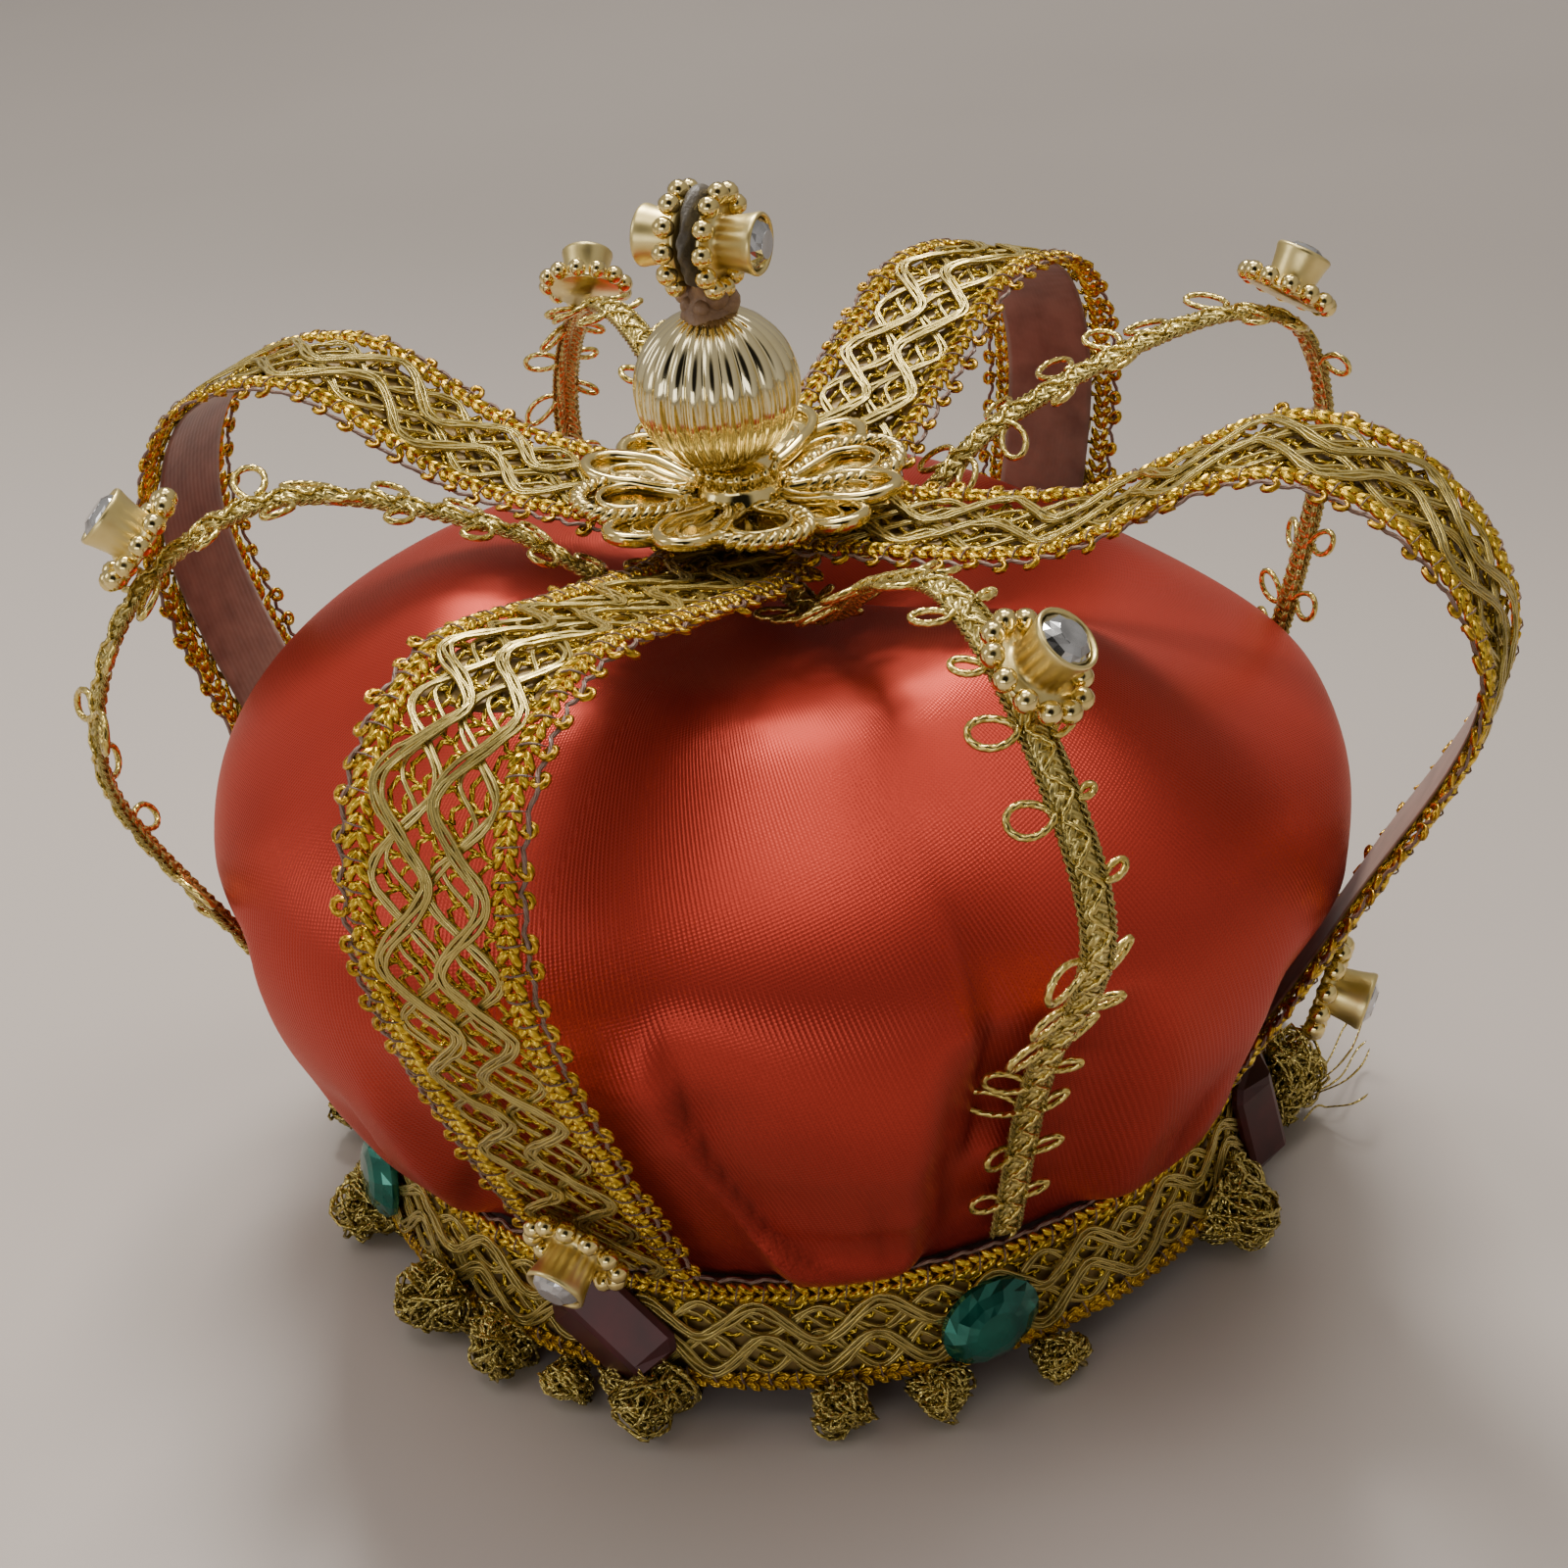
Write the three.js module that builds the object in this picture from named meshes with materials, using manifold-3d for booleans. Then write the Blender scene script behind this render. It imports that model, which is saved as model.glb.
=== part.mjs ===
// A stuffed satin crown on a hair clip, with braid arches, settings and thread tufts.
// Millimetres, +Z up. The crown stands on the table at z = 0 and its front faces -Y.
// Azimuths are in degrees, counted from the front (-Y) towards the right (+X).
import * as THREE from 'three';
import { mergeVertices } from 'three/addons/utils/BufferGeometryUtils.js';
import Module from 'manifold-3d';

const wasm = await Module();
wasm.setup();

const GAP = 0.35;
const BAND_BOTTOM_Z = 4;
const BAND_TOP_Z = 14;
const BAND_BOTTOM_R = 44;
const BAND_TOP_R = 42.4;
const BAND_WALL = 1.5;
const WIDE_STRIP_WIDTH = 16.4;
const WIDE_STRIP_THICK = 1.2;
const GIMP_WIDTH = 3.4;
const GIMP_THICK = 1.5;
const STRIP_STEPS = 46;
const SETTING_R = 4.9;
const SETTING_PLATE = 1.2;
const SETTING_BEADS = 12;
const CUP_R = 2.6;
const CUP_TOP = 4.4;
const STONE_R = 1.95;
const FLOWER_R = 14.6;
const FLOWER_PETALS = 12;
const BALL_R = 7;
const BALL_FLUTES = 24;
const TOP_OFFSET = new THREE.Vector3(-1.5, -0.7, 0);
const BALL_OFFSET = new THREE.Vector3(-2.5, -1.1, 0);
const FLOWER_Z = 66.1;
const BALL_Z = 77;
const FINIAL_Z = 90;
const FINIAL_TILT = -0.03;
const CLIP_LENGTH = 50;
const CLIP_WIDTH = 9;

// Outline of the puff from the centre of its underside to the centre of its top.
const PUFF_SECTIONS = [
  { r: 40.3, z: 12.3 },
  { r: 40.4, z: 14.2 },
  { r: 43.2, z: 15.4 },
  { r: 46.0, z: 18.6 },
  { r: 48.5, z: 22.6 },
  { r: 50.6, z: 27.4 },
  { r: 52.3, z: 32.6 },
  { r: 53.1, z: 37.6 },
  { r: 52.8, z: 42.4 },
  { r: 51.0, z: 47.0 },
  { r: 47.4, z: 51.0 },
  { r: 42.0, z: 54.2 },
  { r: 34.0, z: 56.5 },
  { r: 24.0, z: 57.7 },
  { r: 12.0, z: 58.1 },
];
// Soft dents (negative depth) and folds (positive) of the satin.
const PUFF_FOLDS = [
  { azimuth: 140, z: 54, depth: -8, wide: 26, tall: 9 },
  { azimuth: 12, z: 22, depth: 1.2, wide: 6, tall: 12 },
  { azimuth: 21, z: 20, depth: -2.0, wide: 6, tall: 10 },
  { azimuth: 33, z: 17, depth: 1.0, wide: 5, tall: 5 },
  { azimuth: 36, z: 46, depth: 0.8, wide: 7, tall: 14 },
  { azimuth: 294, z: 33, depth: -3.0, wide: 9, tall: 7 },
  { azimuth: 106, z: 53, depth: -6.5, wide: 24, tall: 6 },
  { azimuth: 108, z: 37, depth: -3.0, wide: 18, tall: 7 },
  { azimuth: 62, z: 18, depth: -1.2, wide: 5, tall: 7 },
  { azimuth: 150, z: 20, depth: -1.6, wide: 7, tall: 10 },
  { azimuth: 200, z: 22, depth: -1.6, wide: 7, tall: 11 },
  { azimuth: 246, z: 20, depth: -1.4, wide: 6, tall: 9 },
  { azimuth: 336, z: 18, depth: -1.4, wide: 5, tall: 8 },
];
const PUFF_AROUND = 60;

// One row for each arch: the points its middle line goes through, from the crossing to the band.
const WIDE_ARCHES = {
  front: {
    azimuth: 0, neck: [9, 63.45], rise: [27, 68.8], crest: [46, 73.8],
    shoulder: [56.5, 69.5], belly: [60, 57.5], waist: [51.8, 34], foot: [42.3, 14.8],
  },
  right: {
    azimuth: 88.5, neck: [11, 65.1], rise: [28, 66.8], crest: [46, 75.3],
    shoulder: [57.2, 71.2], belly: [63.4, 59], waist: [53.5, 36], foot: [42.3, 14.8],
  },
  back: {
    azimuth: 172, neck: [9, 63.45], rise: [25, 69.6], crest: [39, 74],
    shoulder: [54, 69.5], belly: [59.45, 57], waist: [52.2, 34], foot: [42.3, 14.8],
  },
  left: {
    azimuth: 268, neck: [11, 65.1], rise: [27, 67.4], crest: [44, 75.2],
    shoulder: [57.7, 71.0], belly: [63.4, 58], waist: [56, 34], foot: [42.3, 14.8],
  },
};
const GIMP_ARCHES = {
  front_right: {
    azimuth: 45, neck: [13, 60.4], rise: [24, 67.8], crest: [39, 73.3],
    shoulder: [52, 67.5], belly: [60, 56], waist: [49.5, 36], foot: [42.2, 15.0],
  },
  back_right: {
    azimuth: 133, neck: [13, 61.5], rise: [23, 68.2], crest: [46, 73.7],
    shoulder: [53.8, 70.5], belly: [56.6, 60], waist: [51.5, 38], foot: [42.2, 15.0],
  },
  back_left: {
    azimuth: 225, neck: [13, 60.4], rise: [24, 70.4], crest: [38, 72.6],
    shoulder: [51, 66.5], belly: [59, 53], waist: [51, 34], foot: [42.2, 15.0],
  },
  front_left: {
    azimuth: 313, neck: [13, 61.5], rise: [24, 69.6], crest: [42, 76],
    shoulder: [54, 70], belly: [59.4, 56], waist: [50.6, 34.5], foot: [42.2, 15.0],
  },
};

// Settings on the arches: height of the arch's middle line under each, and the way it faces.
const ARCH_SETTINGS = [
  { name: 'front_right', z: 70.5, facing: 85, up: 48 },
  { name: 'back_right', z: 73, facing: 145, up: 54 },
  { name: 'back_left', z: 70, facing: 195, up: 45 },
  { name: 'front_left', z: 73.5, facing: 296, up: 44 },
  { name: 'front', z: 21.6, facing: -9, up: -22 },
  { name: 'right', z: 25, facing: 90, up: -14 },
  { name: 'back', z: 21, facing: 176, up: -20 },
  { name: 'left', z: 21, facing: 266, up: -20 },
];

// Flat-backed stones on the band: turn is the lean of the stone in the band's surface.
const RUBY_SIZE = { long: 10.4, wide: 8, thick: 2.8 };
const RUBIES = [
  { name: 'front', azimuth: -1, z: 8.8, turn: 52 },
  { name: 'right', azimuth: 90, z: 8.6, turn: 8 },
  { name: 'back', azimuth: 173, z: 8.6, turn: 20 },
  { name: 'left', azimuth: 267, z: 8.6, turn: -15 },
];
const EMERALD_SIZE = { long: 9, wide: 7, thick: 2.6 };
const EMERALDS = [
  { name: 'front_right', azimuth: 41.5, z: 7.9, turn: -66 },
  { name: 'back_right', azimuth: 134, z: 9, turn: 75 },
  { name: 'back_left', azimuth: 224, z: 9, turn: -70 },
  { name: 'front_left', azimuth: 316, z: 9, turn: 12 },
];

// Thread tufts under the band: along the band, out from it, and tall.
const TUFTS = [
  { azimuth: -48, along: 9, out: 7.5, tall: 7 },
  { azimuth: -27, along: 8.5, out: 8, tall: 8 },
  { azimuth: -16.5, along: 7.5, out: 7, tall: 6.5 },
  { azimuth: -7, along: 5, out: 5, tall: 4 },
  { azimuth: 3, along: 9.5, out: 8.5, tall: 7 },
  { azimuth: 24, along: 6, out: 6, tall: 5.5 },
  { azimuth: 35, along: 6, out: 5.5, tall: 5 },
  { azimuth: 49, along: 6, out: 5, tall: 4.5 },
  { azimuth: 79, along: 10, out: 8.5, tall: 8.5 },
  { azimuth: 102, along: 10, out: 9.5, tall: 11 },
  { azimuth: 124, along: 8, out: 7.5, tall: 7 },
  { azimuth: 148, along: 9, out: 8, tall: 7.5 },
  { azimuth: 172, along: 7, out: 6.5, tall: 6 },
  { azimuth: 197, along: 9, out: 7.5, tall: 7.5 },
  { azimuth: 221, along: 8, out: 7, tall: 6.5 },
  { azimuth: 245, along: 9, out: 8, tall: 7.5 },
  { azimuth: 268, along: 7, out: 6.5, tall: 6 },
  { azimuth: 291, along: 9, out: 8, tall: 7 },
];
const TUFT_R = 46;

const material = (color, roughness, metalness) =>
  new THREE.MeshStandardMaterial({ color, roughness, metalness });
const satin = material(0xb92a22, 0.42, 0);
const braidGold = material(0xb8923a, 0.45, 0.35);
const gimpGold = material(0xb5a35c, 0.5, 0.3);
const tuftGold = material(0x9a8742, 0.6, 0.25);
const polishedGold = material(0xd9bd7a, 0.18, 1);
const clearStone = material(0xdfe6ea, 0.08, 0);
const rubyStone = material(0x571a22, 0.15, 0);
const emeraldStone = material(0x0f5a4a, 0.12, 0);
const greyGlue = material(0x6d675c, 0.5, 0);
const clipSteel = material(0xb9bcc0, 0.3, 0.9);

const smooth = (edge0, edge1, x) => THREE.MathUtils.smoothstep(x, edge0, edge1);

function around(azimuth, r, z) {
  const a = THREE.MathUtils.degToRad(azimuth);
  return new THREE.Vector3(r * Math.sin(a), -r * Math.cos(a), z);
}

function wrapDegrees(d) {
  return THREE.MathUtils.euclideanModulo(d + 180, 360) - 180;
}

// A closed skin through rings of equal length, with a fan at each end.
function loft(rings) {
  const count = rings[0].length;
  const points = rings.flat();
  const first = points.length;
  const middle = (ring) => ring.reduce((sum, p) => sum.add(p), new THREE.Vector3()).divideScalar(count);
  points.push(middle(rings[0]), middle(rings[rings.length - 1]));
  const index = [];
  for (let i = 0; i < rings.length - 1; i += 1) {
    for (let j = 0; j < count; j += 1) {
      const a = i * count + j;
      const b = i * count + (j + 1) % count;
      index.push(a, b, a + count, b, b + count, a + count);
    }
  }
  const last = (rings.length - 1) * count;
  for (let j = 0; j < count; j += 1) {
    const k = (j + 1) % count;
    index.push(first, k, j, first + 1, last + j, last + k);
  }
  const geometry = new THREE.BufferGeometry().setFromPoints(points);
  geometry.setIndex(index);
  return geometry;
}

function bare(geometry) {
  const copy = geometry.clone();
  copy.deleteAttribute('normal');
  copy.deleteAttribute('uv');
  return mergeVertices(copy, 1e-4);
}

function solid(geometry) {
  const merged = bare(geometry);
  return new wasm.Manifold(new wasm.Mesh({
    numProp: 3,
    vertProperties: new Float32Array(merged.attributes.position.array),
    triVerts: new Uint32Array(merged.index.array),
  }));
}

function fromSolid(body) {
  const mesh = body.getMesh();
  const geometry = new THREE.BufferGeometry();
  geometry.setAttribute('position', new THREE.BufferAttribute(new Float32Array(mesh.vertProperties), 3));
  geometry.setIndex(new THREE.BufferAttribute(new Uint32Array(mesh.triVerts), 1));
  return geometry;
}

function lathe(profile, segments) {
  const geometry = new THREE.LatheGeometry(profile.map(([r, z]) => new THREE.Vector2(r, z)), segments);
  return bare(geometry.rotateX(Math.PI / 2));
}

const crown = new THREE.Group();

function add(name, geometry, look, parent = crown) {
  const mesh = new THREE.Mesh(geometry, look);
  mesh.name = name;
  parent.add(mesh);
  return mesh;
}

// Middle line of one arch from its foot up to the neck beside the crossing.
function archPoints(arch) {
  const stations = [arch.foot, arch.waist, arch.belly, arch.shoulder, arch.crest, arch.rise, arch.neck];
  return stations.map(([r, z]) => around(arch.azimuth, r, z));
}

// A strip runs from one foot over the crossing to the opposite foot, its width level all the way.
function stripFrames({ from, to, crossingZ }, steps) {
  const path = [...archPoints(from), new THREE.Vector3(0, 0, crossingZ), ...archPoints(to).reverse()];
  const curve = new THREE.CatmullRomCurve3(path, false, 'centripetal');
  curve.arcLengthDivisions = 800;
  const wideFrom = around(from.azimuth + 90, 1, 0);
  const wideTo = around(to.azimuth - 90, 1, 0);
  return Array.from({ length: steps + 1 }, (_, i) => {
    const u = i / steps;
    const along = curve.getTangentAt(u);
    const wide = wideFrom.clone().lerp(wideTo, smooth(0.4, 0.6, u)).normalize();
    const out = new THREE.Vector3().crossVectors(wide, along).normalize();
    return { at: curve.getPointAt(u), along, wide, out };
  });
}

function stripBody(frames, width, thick) {
  const corners = [[-0.5, -0.5], [-0.5, 0.5], [0.5, 0.5], [0.5, -0.5]];
  return loft(frames.map(({ at, wide, out }) => corners.map(([w, t]) =>
    at.clone().addScaledVector(wide, w * width).addScaledVector(out, t * thick))));
}

const GIMP = { width: GIMP_WIDTH, thick: GIMP_THICK, arches: GIMP_ARCHES, look: gimpGold };
const WIDE = { width: WIDE_STRIP_WIDTH, thick: WIDE_STRIP_THICK, arches: WIDE_ARCHES, look: braidGold };
const STRIPS = [
  { name: 'gimp_strip_front', from: 'front_right', to: 'back_left', crossingZ: 59.9, braid: GIMP },
  { name: 'gimp_strip_side', from: 'back_right', to: 'front_left', crossingZ: 61.8, braid: GIMP },
  { name: 'wide_strip_front', from: 'front', to: 'back', crossingZ: 63.45, braid: WIDE },
  { name: 'wide_strip_side', from: 'right', to: 'left', crossingZ: 65.15, braid: WIDE },
];
const archLegs = {};
for (const { name, from, to, crossingZ, braid } of STRIPS) {
  const run = { from: braid.arches[from], to: braid.arches[to], crossingZ };
  add(name, stripBody(stripFrames(run, STRIP_STEPS), braid.width, braid.thick), braid.look);
  const fine = stripFrames(run, STRIP_STEPS * 10);
  archLegs[from] = { frames: fine.slice(0, STRIP_STEPS * 5), braid };
  archLegs[to] = { frames: fine.slice(STRIP_STEPS * 5).reverse(), braid };
}

// Radius of an arch's middle line at a height between its foot and its belly.
function legRadius(arch, z) {
  const legs = [arch.foot, arch.waist, arch.belly];
  const i = z < arch.waist[1] ? 0 : 1;
  const [r0, z0] = legs[i];
  const [r1, z1] = legs[i + 1];
  return r0 + (r1 - r0) * THREE.MathUtils.clamp((z - z0) / (z1 - z0), 0, 1);
}

const puffLimits = [
  ...Object.values(WIDE_ARCHES).map((arch) => ({ arch, half: WIDE_STRIP_WIDTH / 2, in: 1.9 })),
  ...Object.values(GIMP_ARCHES).map((arch) => ({ arch, half: GIMP_WIDTH / 2, in: 1.9 })),
];

// The puff's radius: its outline, the folds, and the presses where the arches come down on it.
function puffRadius(azimuth, section) {
  let r = section.r;
  for (const fold of PUFF_FOLDS) {
    const sideways = wrapDegrees(azimuth - fold.azimuth) / fold.wide;
    const upward = (section.z - fold.z) / fold.tall;
    r += fold.depth * Math.exp(-sideways * sideways - upward * upward);
  }
  for (const { arch, half, in: inset } of puffLimits) {
    const sideways = Math.abs(THREE.MathUtils.degToRad(wrapDegrees(azimuth - arch.azimuth))) * r;
    const limit = legRadius(arch, section.z) - inset;
    const press = 1 - smooth(half + 5, half + 11, sideways);
    r -= Math.max(0, r - limit) * press;
  }
  return section.z < 15 ? Math.min(r, section.r) : r;
}

const puffRings = PUFF_SECTIONS.map((section) => Array.from({ length: PUFF_AROUND }, (_, j) => {
  const azimuth = (j * 360) / PUFF_AROUND;
  return around(azimuth, puffRadius(azimuth, section), section.z);
}));
add('satin_puff', loft(puffRings), satin);

const bandProfile = (grow) => [
  [BAND_BOTTOM_R - BAND_WALL - grow, BAND_BOTTOM_Z - grow],
  [BAND_BOTTOM_R + grow, BAND_BOTTOM_Z - grow],
  [BAND_TOP_R + grow, BAND_TOP_Z + grow],
  [BAND_TOP_R - BAND_WALL - grow, BAND_TOP_Z + grow],
  [BAND_BOTTOM_R - BAND_WALL - grow, BAND_BOTTOM_Z - grow],
];
add('base_band', lathe(bandProfile(0), 48), braidGold);

// A beaded plate with a cup for the stone; its back is at z = 0 and it faces +Z.
function settingBody() {
  const outline = new THREE.Shape();
  const steps = SETTING_BEADS * 2;
  for (let i = 0; i <= steps; i += 1) {
    const r = i % 2 ? SETTING_R - 0.55 : SETTING_R;
    const a = (i / steps) * Math.PI * 2;
    outline[i ? 'lineTo' : 'moveTo'](r * Math.cos(a), r * Math.sin(a));
  }
  const plate = new THREE.ExtrudeGeometry(outline, { depth: SETTING_PLATE, bevelEnabled: false });
  const floor = CUP_TOP - 2.1;
  const cup = lathe([
    [0, 0.4], [CUP_R - 0.3, 0.4], [CUP_R, CUP_TOP], [STONE_R + GAP, CUP_TOP],
    [STONE_R + GAP, floor], [0, floor],
  ], 12);
  return fromSolid(wasm.Manifold.union(solid(plate), solid(cup)));
}

const settingShape = settingBody();
const stoneShape = lathe([
  [0, CUP_TOP - 1.75], [STONE_R, CUP_TOP - 0.2], [STONE_R, CUP_TOP + 0.05],
  [STONE_R * 0.6, CUP_TOP + 0.65], [0, CUP_TOP + 0.65],
], 10);

function addSetting(name, back, facing, parent = crown) {
  const turn = new THREE.Quaternion().setFromUnitVectors(new THREE.Vector3(0, 0, 1), facing);
  const setting = add(`setting_${name}`, settingShape, polishedGold, parent);
  const stone = add(`rhinestone_${name}`, stoneShape, clearStone, parent);
  for (const mesh of [setting, stone]) {
    mesh.position.copy(back);
    mesh.quaternion.copy(turn);
  }
}

function towards(azimuth, up) {
  const rise = THREE.MathUtils.degToRad(up);
  return around(azimuth, Math.cos(rise), Math.sin(rise));
}

// Each setting stands off its strip just far enough for its plate to clear the braid.
for (const { name, z, facing, up } of ARCH_SETTINGS) {
  const { frames, braid } = archLegs[name];
  const outer = frames.slice(0, up > 0 ? frames.length : frames.length / 4);
  const face = towards(facing, up);
  const seats = outer.filter(({ at }) => Math.abs(at.z - z) < 0.6);
  const seat = seats.reduce((best, frame) => (frame.out.dot(face) > best.out.dot(face) ? frame : best));
  const half = Math.min(SETTING_R, braid.width / 2);
  const reach = up > 0 ? SETTING_R * 0.6 : SETTING_R;
  const lift = (braid.thick / 2) * Math.abs(seat.out.dot(face)) + reach * Math.abs(seat.along.dot(face))
    + half * Math.abs(seat.wide.dot(face)) + GAP;
  addSetting(name, seat.at.clone().addScaledVector(face, lift), face);
}

// An eight-sided step-cut stone and an oval one, flat backs at z = 0.
function cutStone(outline, thick, table) {
  const ring = (scale, z) => outline.map(([x, y]) => new THREE.Vector3(x * scale, y * scale, z));
  return loft([ring(0.94, 0), ring(1, thick * 0.3), ring(table, thick)]);
}

function octagon({ long, wide }) {
  const x = wide / 2;
  const y = long / 2;
  const c = wide * 0.24;
  const half = [[x, y - c], [x - c, y], [c - x, y], [-x, y - c]];
  return [...half, ...half.map(([u, v]) => [-u, -v])];
}

function oval({ long, wide }) {
  return Array.from({ length: 16 }, (_, i) => {
    const a = (i / 16) * Math.PI * 2;
    return [(wide / 2) * Math.cos(a), (long / 2) * Math.sin(a)];
  });
}

const BAND_LEAN = Math.atan2(BAND_BOTTOM_R - BAND_TOP_R, BAND_TOP_Z - BAND_BOTTOM_Z);
const stoneRoom = [];

function addBandStone(name, { azimuth, z, turn }, geometry, look) {
  const share = (z - BAND_BOTTOM_Z) / (BAND_TOP_Z - BAND_BOTTOM_Z);
  const seat = THREE.MathUtils.lerp(BAND_BOTTOM_R, BAND_TOP_R, share) + GAP;
  const outward = towards(azimuth, THREE.MathUtils.radToDeg(BAND_LEAN));
  const right = around(azimuth + 90, 1, 0);
  const upward = new THREE.Vector3().crossVectors(outward, right);
  const mesh = add(name, geometry, look);
  const basis = new THREE.Matrix4().makeBasis(right, upward, outward);
  mesh.quaternion.setFromRotationMatrix(basis);
  mesh.rotateZ(THREE.MathUtils.degToRad(turn));
  mesh.position.copy(around(azimuth, seat, z));
  mesh.updateMatrix();
  const room = geometry.clone().scale(1.12, 1.12, 1.2).translate(0, 0, -0.3).applyMatrix4(mesh.matrix);
  stoneRoom.push(solid(room));
}

const rubyShape = cutStone(octagon(RUBY_SIZE), RUBY_SIZE.thick, 0.62);
const emeraldShape = cutStone(oval(EMERALD_SIZE), EMERALD_SIZE.thick, 0.6);
RUBIES.forEach((row) => addBandStone(`ruby_${row.name}`, row, rubyShape, rubyStone));
EMERALDS.forEach((row) => addBandStone(`emerald_${row.name}`, row, emeraldShape, emeraldStone));

// A lumpy tuft, flat on the table, cut back where the band and its stones are.
const room = wasm.Manifold.union([solid(lathe(bandProfile(GAP), 48)), ...stoneRoom]);
TUFTS.forEach(({ azimuth, along, out, tall }, i) => {
  const ball = new THREE.SphereGeometry(1, 9, 7).rotateX(Math.PI / 2);
  const lump = bare(ball);
  const spots = lump.attributes.position;
  const outward = around(azimuth, 1, 0);
  const sideways = around(azimuth - 90, 1, 0);
  for (let k = 0; k < spots.count; k += 1) {
    const p = new THREE.Vector3().fromBufferAttribute(spots, k);
    const lumpy = 1 + 0.1 * Math.sin(5 * p.x + 2.3 * i) * Math.cos(4 * p.y + 1.7 * i);
    const place = around(azimuth, TUFT_R, 0)
      .addScaledVector(sideways, (p.x * lumpy * along) / 2)
      .addScaledVector(outward, (p.y * lumpy * out) / 2);
    place.z = Math.max(0, tall * (0.44 + 0.56 * p.z * lumpy));
    spots.setXYZ(k, place.x, place.y, place.z);
  }
  const cut = solid(lump).subtract(room);
  add(`tuft_${String(i + 1).padStart(2, '0')}`, fromSolid(cut), tuftGold);
});

// The filigree flower: a dished plate with a lobed rim and a boss under the ball.
const flowerRows = [
  { reach: 0.3, rim: 0, z: 0 },
  { reach: 0.62, rim: 0.35, z: 0.5 },
  { reach: 1, rim: 1, z: 1.9 },
  { reach: 1, rim: 1, z: 2.9 },
  { reach: 0.62, rim: 0.35, z: 1.8 },
  { reach: 0.25, rim: 0, z: 1.5 },
  { reach: 0.2, rim: 0, z: BALL_Z - BALL_R - GAP - FLOWER_Z },
];
const flower = add('flower', loft(flowerRows.map(({ reach, rim, z }) =>
  Array.from({ length: FLOWER_PETALS * 4 }, (_, j) => {
    const a = (j / (FLOWER_PETALS * 4)) * 360;
    const lobe = Math.abs(Math.cos((THREE.MathUtils.degToRad(a) * FLOWER_PETALS) / 2));
    return around(a, FLOWER_R * reach * (1 - rim * 0.16 * (1 - lobe)), z);
  }))), polishedGold);
flower.position.copy(TOP_OFFSET).setZ(FLOWER_Z);

const ballRows = 9;
const ball = add('fluted_ball', loft(Array.from({ length: ballRows }, (_, i) => {
  const tilt = THREE.MathUtils.lerp(-72, 72, i / (ballRows - 1));
  const t = THREE.MathUtils.degToRad(tilt);
  return Array.from({ length: BALL_FLUTES * 2 }, (_, j) => {
    const r = BALL_R * Math.cos(t) * (j % 2 ? 0.94 : 1);
    return around((j * 180) / BALL_FLUTES, r, (BALL_R * Math.sin(t)) / Math.sin(1.2566));
  });
})), polishedGold);
ball.position.copy(BALL_OFFSET).setZ(BALL_Z);

// The finial: two settings back to back on a core of glue, leaning a little to the left.
const finial = new THREE.Group();
finial.position.copy(BALL_OFFSET).setZ(FINIAL_Z);
finial.rotation.y = -FINIAL_TILT;
crown.add(finial);
const CORE_HALF = 0.55;
addSetting('finial_right', new THREE.Vector3(CORE_HALF + GAP, 0, 0), new THREE.Vector3(1, 0, 0), finial);
addSetting('finial_left', new THREE.Vector3(-CORE_HALF - GAP, 0, 0), new THREE.Vector3(-1, 0, 0), finial);
// Glue core, from the neck on the ball to the top between the plates.
const stemFoot = BALL_Z + BALL_R + 0.5 - FINIAL_Z;
const GLUE_SECTIONS = [
  { z: stemFoot, thick: 0.6, wide: 0.9 },
  { z: -4.2, thick: CORE_HALF, wide: 1.0 },
  { z: -3.0, thick: CORE_HALF, wide: 2.2 },
  { z: -1.5, thick: CORE_HALF, wide: 3.3 },
  { z: 0.5, thick: CORE_HALF, wide: 3.6 },
  { z: 2.4, thick: CORE_HALF, wide: 2.6 },
  { z: 3.4, thick: CORE_HALF, wide: 1.0 },
];
const glueRings = GLUE_SECTIONS.map(({ z, thick, wide }) => Array.from({ length: 14 }, (_, j) => {
  const a = (j / 14) * Math.PI * 2;
  return new THREE.Vector3(thick * Math.cos(a), wide * Math.sin(a), z);
}));
add('finial_glue', loft(glueRings), greyGlue, finial);

// The hidden clip: a plain closed alligator clip, its long jaw level under the puff.
const clipTop = PUFF_SECTIONS[0].z - GAP;
const clipSide = new THREE.Shape([
  [-CLIP_LENGTH / 2, clipTop], [-CLIP_LENGTH / 2, clipTop - 1.2], [-CLIP_LENGTH / 2 + 14, clipTop - 6],
  [CLIP_LENGTH / 2 - 9, clipTop - 6], [CLIP_LENGTH / 2, clipTop - 2.4], [CLIP_LENGTH / 2, clipTop],
].map(([x, z]) => new THREE.Vector2(x, z)));
const clip = new THREE.ExtrudeGeometry(clipSide, { depth: CLIP_WIDTH, bevelEnabled: false });
add('hair_clip', bare(clip.rotateX(Math.PI / 2).translate(0, CLIP_WIDTH / 2, 0)), clipSteel);

// The frame's origin is under the middle of the crown's overall box.
const box = new THREE.Box3().setFromObject(crown);
crown.position.set(-(box.min.x + box.max.x) / 2, -(box.min.y + box.max.y) / 2, -box.min.z);

export default crown;
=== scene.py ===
import bpy
import numpy as np
from mathutils import Matrix


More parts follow.
